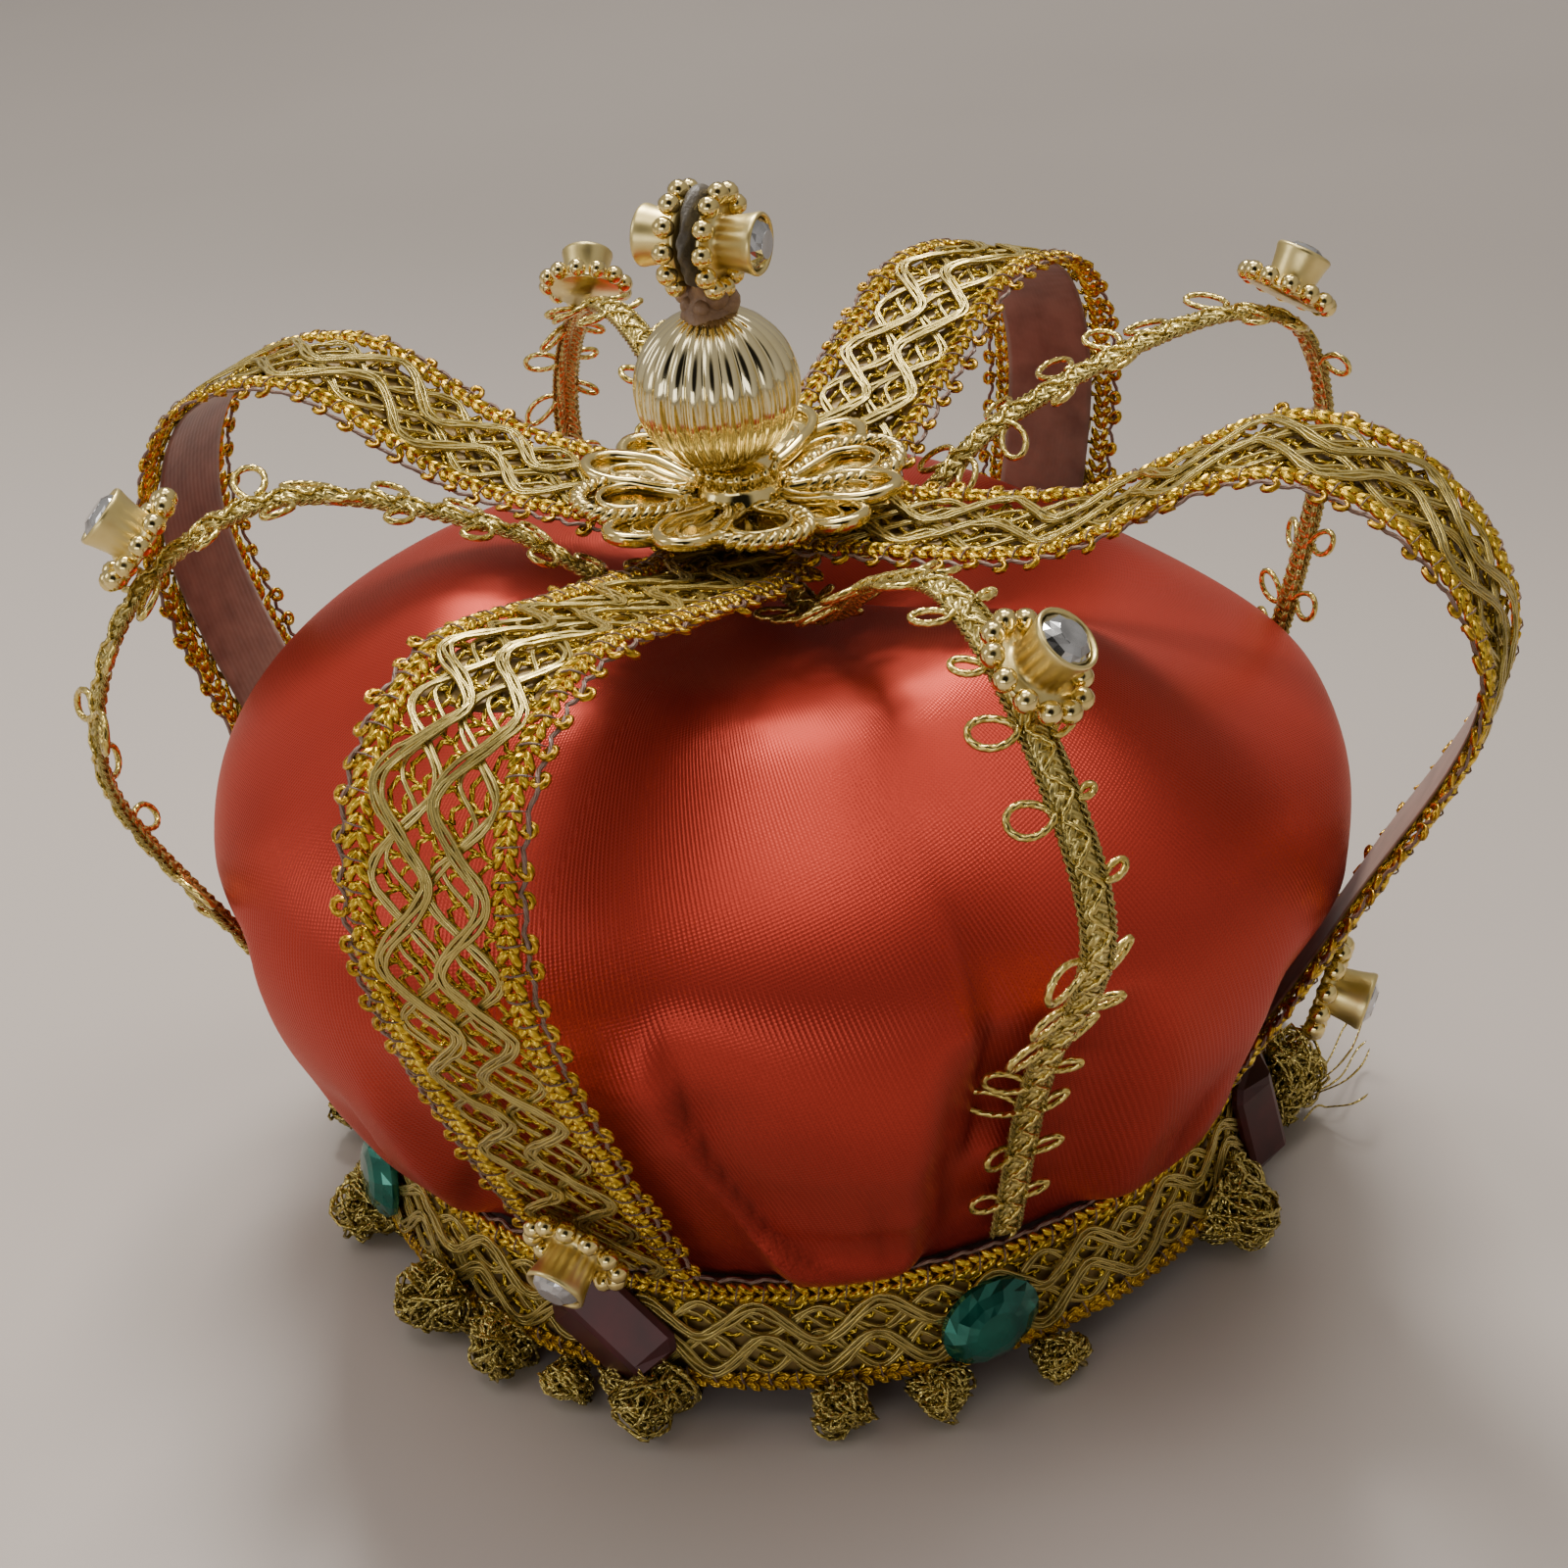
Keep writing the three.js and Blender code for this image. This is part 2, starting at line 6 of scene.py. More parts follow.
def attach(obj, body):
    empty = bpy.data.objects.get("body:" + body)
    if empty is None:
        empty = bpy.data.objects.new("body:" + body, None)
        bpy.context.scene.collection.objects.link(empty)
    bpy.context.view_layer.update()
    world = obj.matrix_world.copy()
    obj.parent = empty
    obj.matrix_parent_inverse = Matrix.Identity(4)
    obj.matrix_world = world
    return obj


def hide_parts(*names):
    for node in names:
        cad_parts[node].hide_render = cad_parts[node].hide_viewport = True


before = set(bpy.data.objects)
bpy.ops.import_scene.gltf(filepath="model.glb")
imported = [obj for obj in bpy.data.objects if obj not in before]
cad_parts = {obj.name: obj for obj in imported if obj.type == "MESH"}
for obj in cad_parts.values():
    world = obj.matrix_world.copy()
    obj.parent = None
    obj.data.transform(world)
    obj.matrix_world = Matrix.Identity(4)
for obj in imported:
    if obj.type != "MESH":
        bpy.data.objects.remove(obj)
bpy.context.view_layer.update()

MM = 0.001
TAU = 2 * np.pi
chance = np.random.default_rng(11)


# ---- small helpers

def unit(v):
    return v / np.maximum(np.linalg.norm(v, axis=-1, keepdims=True), 1e-9)


def around(azimuth, r, z):
    """Points at an azimuth (degrees from the front towards the right), radius and height."""
    a = np.radians(azimuth)
    return np.stack(np.broadcast_arrays(r * np.sin(a), -r * np.cos(a), z), -1).astype(float)


def step_between(low, high, x):
    """Goes smoothly from 0 at low to 1 at high."""
    t = np.clip((x - low) / (high - low), 0, 1)
    return t * t * (3 - 2 * t)


def node_points(name):
    """The separate points of a CAD node, in millimetres."""
    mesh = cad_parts[name].data
    co = np.empty(len(mesh.vertices) * 3)
    mesh.vertices.foreach_get("co", co)
    return np.unique(np.round(co.reshape(-1, 3) / MM, 3), axis=0)


class Bundle:
    """Grids of points gathered into one mesh piece, each with a place in the piece's list of looks."""

    def __init__(self):
        self.points, self.faces, self.uv, self.look, self.flat = [], [], [], [], []
        self.count = 0

    def add_faces(self, corners, uv, look, flat):
        """Adds faces that all have the same number of corners; corners is (faces, corners of a face)."""
        self.faces.append(corners)
        self.uv.append(uv.reshape(-1, 2))
        self.look.append(np.full(len(corners), look))
        self.flat.append(np.full(len(corners), flat))

    def grids(self, p, length=None, wrap=True, look=0, flat=False):
        """Adds copies of a grid. p is (copies, rows, columns, 3); wrap joins the last column to the first and closes
        both ends. The UV is the length along the rows in millimetres and the share of the way round the columns."""
        copies, rows, columns, _ = p.shape
        index = np.arange(copies * rows * columns).reshape(copies, rows, columns) + self.count
        here = index if wrap else index[:, :, :-1]
        beside = np.roll(index, -1, axis=2) if wrap else index[:, :, 1:]
        quads = np.stack([here[:, :-1], beside[:, :-1], beside[:, 1:], here[:, 1:]], -1)
        if length is None:
            length = np.arange(rows, dtype=float)
        length = np.broadcast_to(length, (copies, rows))
        wide = here.shape[2]
        share = np.broadcast_to(np.arange(wide) / wide, (copies, rows - 1, wide))
        low = np.broadcast_to(length[:, :-1, None], share.shape)
        high = np.broadcast_to(length[:, 1:, None], share.shape)
        next_share = share + 1 / wide
        uv = np.stack([np.stack([low, share], -1), np.stack([low, next_share], -1),
                       np.stack([high, next_share], -1), np.stack([high, share], -1)], -2)
        self.points.append(p.reshape(-1, 3))
        self.add_faces(quads.reshape(-1, 4), uv, look, flat)
        for row, way in ((0, -1), (-1, 1)) if wrap else ():
            ring = index[:, row, ::way]
            place_in_mm = np.stack(np.broadcast_arrays(length[:, row, None], np.arange(columns)[::way] / columns), -1)
            self.add_faces(ring, place_in_mm, look, flat)
        self.count += p.size // 3

    def piece(self, name, looks, slot, *nodes):
        """Makes the mesh, gives it its looks, and lets it stand for the CAD nodes."""
        points = np.concatenate(self.points)
        corners = np.concatenate([faces.ravel() for faces in self.faces])
        sizes = np.concatenate([np.full(len(faces), faces.shape[1]) for faces in self.faces])
        mesh = bpy.data.meshes.new(name)
        mesh.vertices.add(len(points))
        mesh.vertices.foreach_set("co", (points * MM).ravel())
        mesh.loops.add(len(corners))
        mesh.loops.foreach_set("vertex_index", corners.astype(np.int32))
        mesh.polygons.add(len(sizes))
        mesh.polygons.foreach_set("loop_start", (np.cumsum(sizes) - sizes).astype(np.int32))
        mesh.polygons.foreach_set("material_index", np.concatenate(self.look).astype(np.int32))
        mesh.polygons.foreach_set("use_smooth", ~np.concatenate(self.flat))
        layer = mesh.uv_layers.new(name="UVMap")
        layer.data.foreach_set("uv", np.concatenate(self.uv).ravel())
        mesh.update(calc_edges=True)
        mesh.validate()
        for look in looks:
            mesh.materials.append(look)
        return place(bpy.data.objects.new(name, mesh), slot, *nodes)


def place(piece, slot, *nodes):
    bpy.context.scene.collection.objects.link(piece)
    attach(piece, "root")
    if nodes:
        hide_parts(*nodes)
    return piece


def tubes(path, out, wide, thick=None, sides=6, square=1.0, ends=True):
    """Threads: an oval of the given width and thickness carried along each path, its flat side facing out.
    square under 1 makes the oval boxier. path and out are (copies, steps, 3)."""
    thick = wide if thick is None else thick
    along = unit(np.gradient(path, axis=1))
    side = unit(np.cross(out, along))
    up = np.cross(along, side)
    a = TAU * (np.arange(sides) + 0.5) / sides
    x, y = (np.sign(f) * np.abs(f) ** square / 2 for f in (np.cos(a), np.sin(a)))
    steps = path.shape[1]
    fill = np.ones(steps)
    if ends:
        fill[[0, -1]] = 0.15
    w = np.broadcast_to(wide, path.shape[:2]) * fill
    t = np.broadcast_to(thick, path.shape[:2]) * fill
    return (path[:, :, None] + side[:, :, None] * (w[:, :, None] * x)[..., None]
            + up[:, :, None] * (t[:, :, None] * y)[..., None])


def run_length(path):
    steps = np.linalg.norm(np.diff(path, axis=1), axis=-1)
    return np.concatenate([np.zeros((len(path), 1)), np.cumsum(steps, 1)], 1)


def add_tubes(bundle, path, out, wide, thick=None, sides=6, look=0, **more):
    bundle.grids(tubes(path, out, wide, thick, sides, **more), run_length(path), look=look)


def ball_grid(rows=6, columns=8):
    """A unit ball as a grid from its south to its north pole."""
    v, u = np.meshgrid(np.linspace(-np.pi / 2 + 0.05, np.pi / 2 - 0.05, rows),
                       np.arange(columns) * TAU / columns, indexing="ij")
    return np.stack([np.cos(v) * np.cos(u), np.cos(v) * np.sin(u), np.sin(v)], -1)


def lathe_grid(profile, columns=24):
    """A profile of (radius, height) turned about the Z axis."""
    r, z = np.array(profile, float).T
    u = np.arange(columns) * TAU / columns
    return np.stack(np.broadcast_arrays(r[:, None] * np.cos(u), r[:, None] * np.sin(u), z[:, None]), -1)


# ---- looks

class Wiring:
    """Adds nodes to a node tree; an input is given as a value or as another node's output."""

    def __init__(self, tree):
        self.tree = tree

    def add(self, kind, inputs=None, **settings):
        node = self.tree.nodes.new(kind)
        for key, value in settings.items():
            setattr(node, key, value)
        for key, value in (inputs or {}).items():
            if isinstance(value, bpy.types.NodeSocket):
                self.tree.links.new(value, node.inputs[key])
            else:
                node.inputs[key].default_value = value
        return node

    def math(self, operation, a, b=0.0, clamp=False):
        return self.add("ShaderNodeMath", {0: a, 1: b}, operation=operation, use_clamp=clamp).outputs[0]

    def mix(self, share, a, b):
        node = self.add("ShaderNodeMix", {"Factor": share}, data_type="RGBA")
        for socket, value in ((node.inputs[6], a), (node.inputs[7], b)):
            if isinstance(value, bpy.types.NodeSocket):
                self.tree.links.new(value, socket)
            else:
                socket.default_value = (*value, 1)
        return node.outputs[2]

    def spread(self, value, low, high, to_low=0.0, to_high=1.0):
        inputs = {"Value": value, "From Min": low, "From Max": high, "To Min": to_low, "To Max": to_high}
        return self.add("ShaderNodeMapRange", inputs).outputs[0]

    def noise(self, place, scale, detail):
        return self.add("ShaderNodeTexNoise", {"Vector": place, "Scale": scale, "Detail": detail}).outputs[0]

    def split(self, vector):
        return self.add("ShaderNodeSeparateXYZ", {0: vector}).outputs

    def object_place(self):
        return self.add("ShaderNodeTexCoord").outputs["Object"]

    def give(self, gives, **values):
        for label, value in values.items():
            self.tree.links.new(value, gives[label])


def shader_group(name, inputs, outputs):
    """An empty node group with named inputs (name, kind, value) and outputs (name, kind)."""
    tree = bpy.data.node_groups.new(name, "ShaderNodeTree")
    for label, kind, value in inputs:
        socket = tree.interface.new_socket(label, in_out="INPUT", socket_type="NodeSocket" + kind)
        if value is not None:
            socket.default_value = value
    for label, kind in outputs:
        tree.interface.new_socket(label, in_out="OUTPUT", socket_type="NodeSocket" + kind)
    return tree, Wiring(tree), tree.nodes.new("NodeGroupInput").outputs, tree.nodes.new("NodeGroupOutput").inputs


def satin_weave_group():
    """Fine slanting warp floats: a wave across the slant, broken up by small breaks along it."""
    tree, w, given, gives = shader_group(
        "satin_weave", [("Place", "Vector", None), ("Pitch", "Float", 0.45)],
        [("Height", "Float"), ("Thread", "Float"), ("Drift", "Float")])
    split = w.split(given["Place"])
    slant = w.math("ADD", w.math("MULTIPLY", split[0], 0.30), w.math("MULTIPLY", split[1], 0.95))
    across = w.math("SUBTRACT", w.math("MULTIPLY", split[1], 0.30), w.math("MULTIPLY", split[0], 0.95))
    line = w.math("SINE", w.math("DIVIDE", w.math("MULTIPLY", slant, TAU), given["Pitch"]))
    cross = w.math("SINE", w.math("DIVIDE", w.math("MULTIPLY", across, TAU * 1.35), given["Pitch"]))
    grain = w.noise(given["Place"], 1.4, 2.0)
    slow = w.noise(given["Place"], 0.06, 2.0)
    both = w.math("ADD", w.math("MULTIPLY", line, 0.7), w.math("MULTIPLY", cross, 0.3))
    height = w.math("ADD", both, w.math("MULTIPLY", grain, 0.5))
    w.give(gives, Height=height, Thread=w.spread(both, -1, 1), Drift=slow)
    return tree


def metal_thread_group():
    """Flat metal film wound on a core: fine lines along or across the thread, and bright flecks where it turns."""
    tree, w, given, gives = shader_group(
        "metal_thread",
        [("Place", "Vector", None), ("Filaments", "Float", 6.0), ("Winds", "Float", 0.0), ("Fleck size", "Float", 0.6)],
        [("Height", "Float"), ("Groove", "Float"), ("Fleck", "Float"), ("Drift", "Float")])
    split = w.split(given["Place"])
    turn = w.math("ADD", w.math("MULTIPLY", split[1], given["Filaments"]), w.math("MULTIPLY", split[0], given["Winds"]))
    line = w.math("SINE", w.math("MULTIPLY", turn, TAU))
    stretched = w.add("ShaderNodeCombineXYZ", {0: split[0], 1: w.math("MULTIPLY", split[1], 4.0), 2: 0.0}).outputs[0]
    scale = w.math("DIVIDE", 1.0, given["Fleck size"])
    speck = w.noise(stretched, scale, 1.0)
    slow = w.noise(w.object_place(), 140.0, 2.0)
    w.give(gives, Height=line, Groove=w.spread(line, 0.2, -1.0), Fleck=w.spread(speck, 0.52, 0.68), Drift=slow)
    return tree


def surface_wear_group():
    """Slow cloudy tarnish and fine scratches on a hard surface, from object coordinates."""
    tree, w, given, gives = shader_group(
        "surface_wear", [("Size", "Float", 300.0)], [("Cloud", "Float"), ("Scratch", "Float")])
    where = w.object_place()
    cloud = w.noise(where, given["Size"], 4.0)
    fine = w.noise(where, w.math("MULTIPLY", given["Size"], 9.0), 3.0)
    w.give(gives, Cloud=w.spread(cloud, 0.35, 0.7), Scratch=fine)
    return tree


SATIN_WEAVE = satin_weave_group()
METAL_THREAD = metal_thread_group()
SURFACE_WEAR = surface_wear_group()


def new_look(name):
    """A material with its wiring and its Principled shader."""
    look = bpy.data.materials.new(name)
    look.use_nodes = True
    w = Wiring(look.node_tree)
    return look, w, look.node_tree.nodes["Principled BSDF"]


def set_inputs(w, node, **inputs):
    for key, value in inputs.items():
        socket = node.inputs[key.replace("_", " ")]
        if isinstance(value, bpy.types.NodeSocket):
            w.tree.links.new(value, socket)
        else:
            socket.default_value = (*value, 1) if isinstance(value, tuple) else value


def use_group(w, tree, **inputs):
    node = w.add("ShaderNodeGroup", node_tree=tree)
    set_inputs(w, node, **inputs)
    return node.outputs


def bump(w, height, distance, strength=1.0):
    return w.add("ShaderNodeBump", {"Height": height, "Distance": distance, "Strength": strength}).outputs[0]


def uv_place(w):
    return w.add("ShaderNodeUVMap", uv_map="UVMap").outputs[0]


def satin_look(name, deep, mid, light):
    """Red satin: a slanting weave under a soft tinted sheen, with painted shade along the flaps' creases."""
    look, w, shader = new_look(name)
    place_in_mm = uv_place(w)
    weave = use_group(w, SATIN_WEAVE, Place=place_in_mm, Pitch=0.42)
    base = w.mix(w.spread(weave["Drift"], 0.3, 0.7), mid, light)
    # Painted shade: this attribute darkens the satin's colour towards deep just under each flap's edge.
    crease_shade = w.add("ShaderNodeAttribute", attribute_name="crease_shade").outputs["Fac"]
    base = w.mix(w.math("MULTIPLY", crease_shade, 0.75), base, deep)
    colour = w.mix(w.math("MULTIPLY", weave["Thread"], 0.35), deep, base)
    tangent = w.add("ShaderNodeTangent", direction_type="UV_MAP", uv_map="UVMap").outputs[0]
    set_inputs(w, shader, Base_Color=w.mix(0.5, colour, base), Roughness=w.spread(weave["Thread"], 0, 1, 0.39, 0.26),
               Metallic=0.5, Specular_IOR_Level=0.4, Specular_Tint=(1.0, 0.38, 0.22), Anisotropic=0.35,
               Anisotropic_Rotation=0.25, Tangent=tangent, Sheen_Weight=0.03, Sheen_Roughness=0.4,
               Sheen_Tint=(1.0, 0.5, 0.4), Normal=bump(w, weave["Height"], 0.00004, 0.42))
    return look


def thread_look(name, bright, dark_tone_and_shade, filaments=6.0, winds=0.0, fleck=0.6, metal=0.8, rough=0.32, depth=0.00005):
    """Metal thread: bright windings with painted shade darkening the grooves between them, and sharper flecks."""
    look, w, shader = new_look(name)
    thread = use_group(w, METAL_THREAD, Place=uv_place(w), Filaments=filaments, Winds=winds, Fleck_size=fleck)
    # Painted shade: the grooves between windings darken towards the dark colour, also used for a random darker tone.
    groove_shade = w.math("MULTIPLY", thread["Groove"], 0.75)
    colour = w.mix(groove_shade, w.mix(w.spread(thread["Drift"], 0.35, 0.65), bright, w.mix(0.5, bright, dark_tone_and_shade)), dark_tone_and_shade)
    set_inputs(w, shader, Base_Color=colour, Metallic=metal, Specular_IOR_Level=0.6,
               Roughness=w.spread(thread["Fleck"], 0, 1, rough, rough * 0.45),
               Normal=bump(w, thread["Height"], depth, 0.8))
    return look


def plated_look(name, colour, shade, rough=0.13):
    """Bright plating with a faint cloud of tarnish."""
    look, w, shader = new_look(name)
    wear = use_group(w, SURFACE_WEAR, Size=420.0)
    set_inputs(w, shader, Base_Color=w.mix(w.math("MULTIPLY", wear["Cloud"], 0.5), colour, shade), Metallic=1.0,
               Roughness=w.spread(wear["Cloud"], 0, 1, rough, rough + 0.1),
               Normal=bump(w, wear["Scratch"], 0.00001, 0.25))
    return look


def stone_look(name, colour, dark, metal, rough, coat):
    """A foil-backed cut stone: each facet flashes like tinted foil under a clear coat."""
    look, w, shader = new_look(name)
    wear = use_group(w, SURFACE_WEAR, Size=260.0)
    set_inputs(w, shader, Base_Color=w.mix(wear["Cloud"], colour, dark), Metallic=metal, Roughness=rough,
               Coat_Weight=coat, Coat_Roughness=0.06, Normal=bump(w, wear["Scratch"], 0.000008, 0.2))
    return look


def backing_look(name, colour, dark, cover):
    """A woven back; cover is how much of it is thread, the rest being the gaps one sees through."""
    look, w, shader = new_look(name)
    in_mm = w.add("ShaderNodeVectorMath", {0: w.object_place(), 1: (1000, 1000, 1000)}, operation="MULTIPLY")
    weave = use_group(w, SATIN_WEAVE, Place=in_mm.outputs[0], Pitch=0.6)
    cloud = use_group(w, SURFACE_WEAR, Size=330.0)
    set_inputs(w, shader, Base_Color=w.mix(cloud["Cloud"], colour, dark), Roughness=0.45, Sheen_Weight=0.3,
               Metallic=0.1, Alpha=cover, Normal=bump(w, weave["Height"], 0.00004, 0.25))
    return look


def glue_look(name, colour, dark):
    look, w, shader = new_look(name)
    wear = use_group(w, SURFACE_WEAR, Size=500.0)
    set_inputs(w, shader, Base_Color=w.mix(wear["Cloud"], colour, dark),
               Roughness=w.spread(wear["Cloud"], 0, 1, 0.3, 0.55), Normal=bump(w, wear["Scratch"], 0.00012, 0.6))
    return look


SATIN = satin_look("red_satin", (0.13, 0.010, 0.007), (0.56, 0.056, 0.039), (0.64, 0.064, 0.044))
CHAIN_GOLD = thread_look("chain_gold", (0.95, 0.66, 0.07), (0.38, 0.22, 0.012), 3.0, 0.0, 0.5, 1.0, 0.32)
EDGE_GOLD = thread_look("edge_gold", (0.76, 0.47, 0.045), (0.26, 0.13, 0.01), 3.0, 0.8, 0.5, 0.95, 0.34)
PALE_STRAND = thread_look("pale_strand", (0.80, 0.65, 0.22), (0.36, 0.27, 0.07), 4.0, 0.0, 0.8, 0.85, 0.32)
NET_GOLD = thread_look("net_gold", (0.90, 0.64, 0.06), (0.34, 0.21, 0.015), 3.0, 1.2, 0.4, 0.9, 0.24)
MAUVE = thread_look("mauve_thread", (0.30, 0.185, 0.14), (0.17, 0.09, 0.06), 4.0, 1.0, 0.7, 0.0, 0.55)
RIBBON = backing_look("ribbon_back", (0.31, 0.18, 0.13), (0.19, 0.10, 0.07), 0.95)
GOLD_GROUND = backing_look("gold_ground", (0.34, 0.22, 0.05), (0.17, 0.10, 0.02), 1.0)
BAND_BACK = backing_look("band_back", (0.14, 0.08, 0.034), (0.065, 0.032, 0.012), 1.0)
GIMP_GOLD = thread_look("gimp_gold", (0.70, 0.57, 0.20), (0.33, 0.25, 0.06), 5.0, 0.8, 0.5, 0.8, 0.28)
PICOT_GOLD = thread_look("picot_gold", (0.82, 0.66, 0.21), (0.48, 0.35, 0.08), 2.0, 1.1, 0.5, 0.9, 0.2, 0.00003)
TUFT_THREAD = thread_look("tuft_thread", (0.74, 0.60, 0.19), (0.38, 0.30, 0.08), 2.0, 1.5, 0.5, 0.85, 0.22)
POLISHED = plated_look("polished_gold", (0.80, 0.65, 0.28), (0.66, 0.50, 0.17), 0.09)
CUP_GOLD = plated_look("cup_gold", (0.76, 0.63, 0.28), (0.62, 0.48, 0.17), 0.3)
BALL_GOLD = plated_look("ball_gold", (0.80, 0.71, 0.43), (0.70, 0.58, 0.28), 0.07)
CLEAR_STONE = stone_look("clear_stone", (0.62, 0.63, 0.65), (0.17, 0.175, 0.185), 0.9, 0.05, 0.8)
RUBY = stone_look("ruby_stone", (0.075, 0.009, 0.011), (0.036, 0.007, 0.007), 0.3, 0.42, 0.06)
EMERALD = stone_look("emerald_stone", (0.006, 0.15, 0.105), (0.003, 0.07, 0.05), 0.6, 0.12, 0.3)
GLUE = glue_look("grey_glue", (0.13, 0.115, 0.09), (0.06, 0.05, 0.038))
COPPER_GLUE = glue_look("brown_glue", (0.34, 0.21, 0.12), (0.15, 0.08, 0.045))
CLIP_STEEL = plated_look("clip_steel", (0.60, 0.61, 0.64), (0.42, 0.43, 0.46), 0.28)


# ---- the lines the strips follow

# Each arch: azimuth, then reach and height of its middle line at the neck beside the crossing, the rise,
# the crest, the shoulder, the belly, the waist and the foot on the band.
ARCHES = {
    "front": (0, (9, 63.45), (27, 68.8), (46, 73.8), (56.5, 69.5), (60, 57.5), (51.8, 34), (42.3, 14.8)),
    "right": (88.5, (11, 65.1), (28, 66.8), (46, 75.3), (57.2, 71.2), (63.4, 59), (53.5, 36), (42.3, 14.8)),
    "back": (172, (9, 63.45), (25, 69.6), (39, 74), (54, 69.5), (59.45, 57), (52.2, 34), (42.3, 14.8)),
    "left": (268, (11, 65.1), (27, 67.4), (44, 75.2), (57.7, 71), (63.4, 58), (56, 34), (42.3, 14.8)),
    "front_right": (45, (13, 60.4), (24, 67.8), (39, 73.3), (52, 67.5), (60, 56), (49.5, 36), (42.2, 15)),
    "back_right": (133, (13, 61.5), (23, 68.2), (46, 73.7), (53.8, 70.5), (56.6, 60), (51.5, 38), (42.2, 15)),
    "back_left": (225, (13, 60.4), (24, 70.4), (38, 72.6), (51, 66.5), (59, 53), (51, 34), (42.2, 15)),
    "front_left": (313, (13, 61.5), (24, 69.6), (42, 76), (54, 70), (59.4, 56), (50.6, 34.5), (42.2, 15)),
}
BAND_LOW, BAND_HIGH = (44, 4), (42.4, 14)


def smooth_line(knots, step):
    """An even centripetal Catmull-Rom line through the knots: its lengths and its points."""
    k = np.vstack([2 * knots[0] - knots[1], knots, 2 * knots[-1] - knots[-2]])
    t = np.linspace(0, 1, 60, endpoint=False)[:, None]
    parts = []
    for p0, p1, p2, p3 in zip(k, k[1:], k[2:], k[3:]):
        d0, d1, d2 = (np.sqrt(np.linalg.norm(b - a)) for a, b in ((p0, p1), (p1, p2), (p2, p3)))
        m1 = ((p1 - p0) / d0 - (p2 - p0) / (d0 + d1)) * d1 + (p2 - p1)
        m2 = ((p3 - p2) / d2 - (p3 - p1) / (d1 + d2)) * d1 + (p2 - p1)
        parts.append(p1 + m1 * t + (3 * (p2 - p1) - 2 * m1 - m2) * t**2 + (2 * (p1 - p2) + m1 + m2) * t**3)
    line = np.vstack([*parts, knots[-1:]])
    s = np.r_[0, np.cumsum(np.linalg.norm(np.diff(line, axis=0), axis=1))]
    even = np.linspace(0, s[-1], int(s[-1] / step) + 1)
    return even, np.stack([np.interp(even, s, line[:, i]) for i in range(line.shape[1])], -1)


def strip_line(start, end, crossing_z):
    """The middle line of a strip from one foot over the crossing to the other, with its level width and its outside.
    Its hand is -1 where along, across and outside make a left-handed set, so that shapes laid on it are turned over."""
    knots = [around(ARCHES[start][0], r, z) for r, z in reversed(ARCHES[start][1:])]
    knots += [np.array([0, 0, crossing_z])]
    knots += [around(ARCHES[end][0], r, z) for r, z in ARCHES[end][1:]]
    s, at = smooth_line(np.array(knots), 0.4)
    along = unit(np.gradient(at, axis=0))
    turn = step_between(0.4, 0.6, s / s[-1])[:, None]
    wide = unit(around(ARCHES[start][0] + 90, 1, 0) * (1 - turn) + around(ARCHES[end][0] - 90, 1, 0) * turn)
    return {"s": s, "at": at, "wide": wide, "out": unit(np.cross(wide, along)), "hand": -1}


def band_line():
    """The middle line of the band all the way round, its width running up the band's slope."""
    azimuth = np.linspace(0, 360, 721)
    r, z = (BAND_LOW[0] + BAND_HIGH[0]) / 2 - 0.3, (BAND_LOW[1] + BAND_HIGH[1]) / 2
    up = unit(around(azimuth, BAND_HIGH[0] - BAND_LOW[0], BAND_HIGH[1] - BAND_LOW[1]))
    along = around(azimuth + 90, 1, 0)
    out = unit(np.cross(along, up))
    return {"s": np.radians(azimuth) * r, "at": around(azimuth, r, z), "wide": up, "out": out, "hand": 1}


def lay(line, u, v, w):
    """Points u along a strip, v across it and w above its middle, in millimetres, and the strip's outside there."""
    u, v, w = np.broadcast_arrays(u, v, w)
    take = lambda key: np.stack([np.interp(u, line["s"], line[key][:, k]) for k in range(3)], -1)
    out = take("out")
    return take("at") + v[..., None] * take("wide") + w[..., None] * out, out


# ---- braid

# Where each part of a braid lies across it, in millimetres from its middle. Eyes: middle and swing of each column of
# crossing strands. Chains: row, lean, look. Mauve and picots: row, side. Net: lowest row, highest row, count.
WIDE_BRAID = {
    "eyes": [(-2.35, 2.25), (2.25, 2.25)], "period": 12.4,
    "chains": [(-6.3, 1, 0), (-5.35, -1, 0), (5.35, 1, 0), (6.3, -1, 0)],
    "mauve": [(-6.95, -1), (6.95, 1)], "picots": [(-6.9, -1), (6.9, 1)],
    "net": (-4.4, 4.4, 8), "back": (-4.9, 4.9), "ties": [(-4.7, -7.3), (4.7, 7.3)],
}
BAND_BRAID = {
    "eyes": [(1.25, 1.5), (-1.85, 1.75)], "period": 9.7,
    "chains": [(3.65, 1, 0), (4.55, -1, 0), (-4.25, 1, 2), (-4.95, -1, 2)],
    "mauve": [(4.9, 1)], "picots": [], "net": (-3.7, 3.0, 6), "back": (-5.0, 5.0), "ties": [(3.0, 5.2), (-3.4, -5.1)],
}


def stitches(line, row, lean, pitch=1.16):
    """A row of leaf-shaped chain stitches: balls drawn out along the row and leaning across it."""
    u = np.arange(pitch / 2, line["s"][-1], pitch)
    u = u + chance.normal(0, 0.06, len(u))
    slant = np.radians(31) * lean + chance.normal(0, 0.09, len(u))
    shape = ball_grid(5, 6)[:, ::line["hand"]] * np.array([0.96, 0.43, 0.36])
    x, y, z = shape[None, ..., 0], shape[None, ..., 1], shape[None, ..., 2]
    c, s = np.cos(slant)[:, None, None], np.sin(slant)[:, None, None]
    raised, tipped = chance.normal(0, 0.05, len(u)), chance.normal(0.3, 0.6, len(u))
    lift = 0.5 + raised[:, None, None] + 0.18 * x * tipped[:, None, None]
    return lay(line, u[:, None, None] + x * c - y * s, row + x * s + y * c, lift + z)[0]


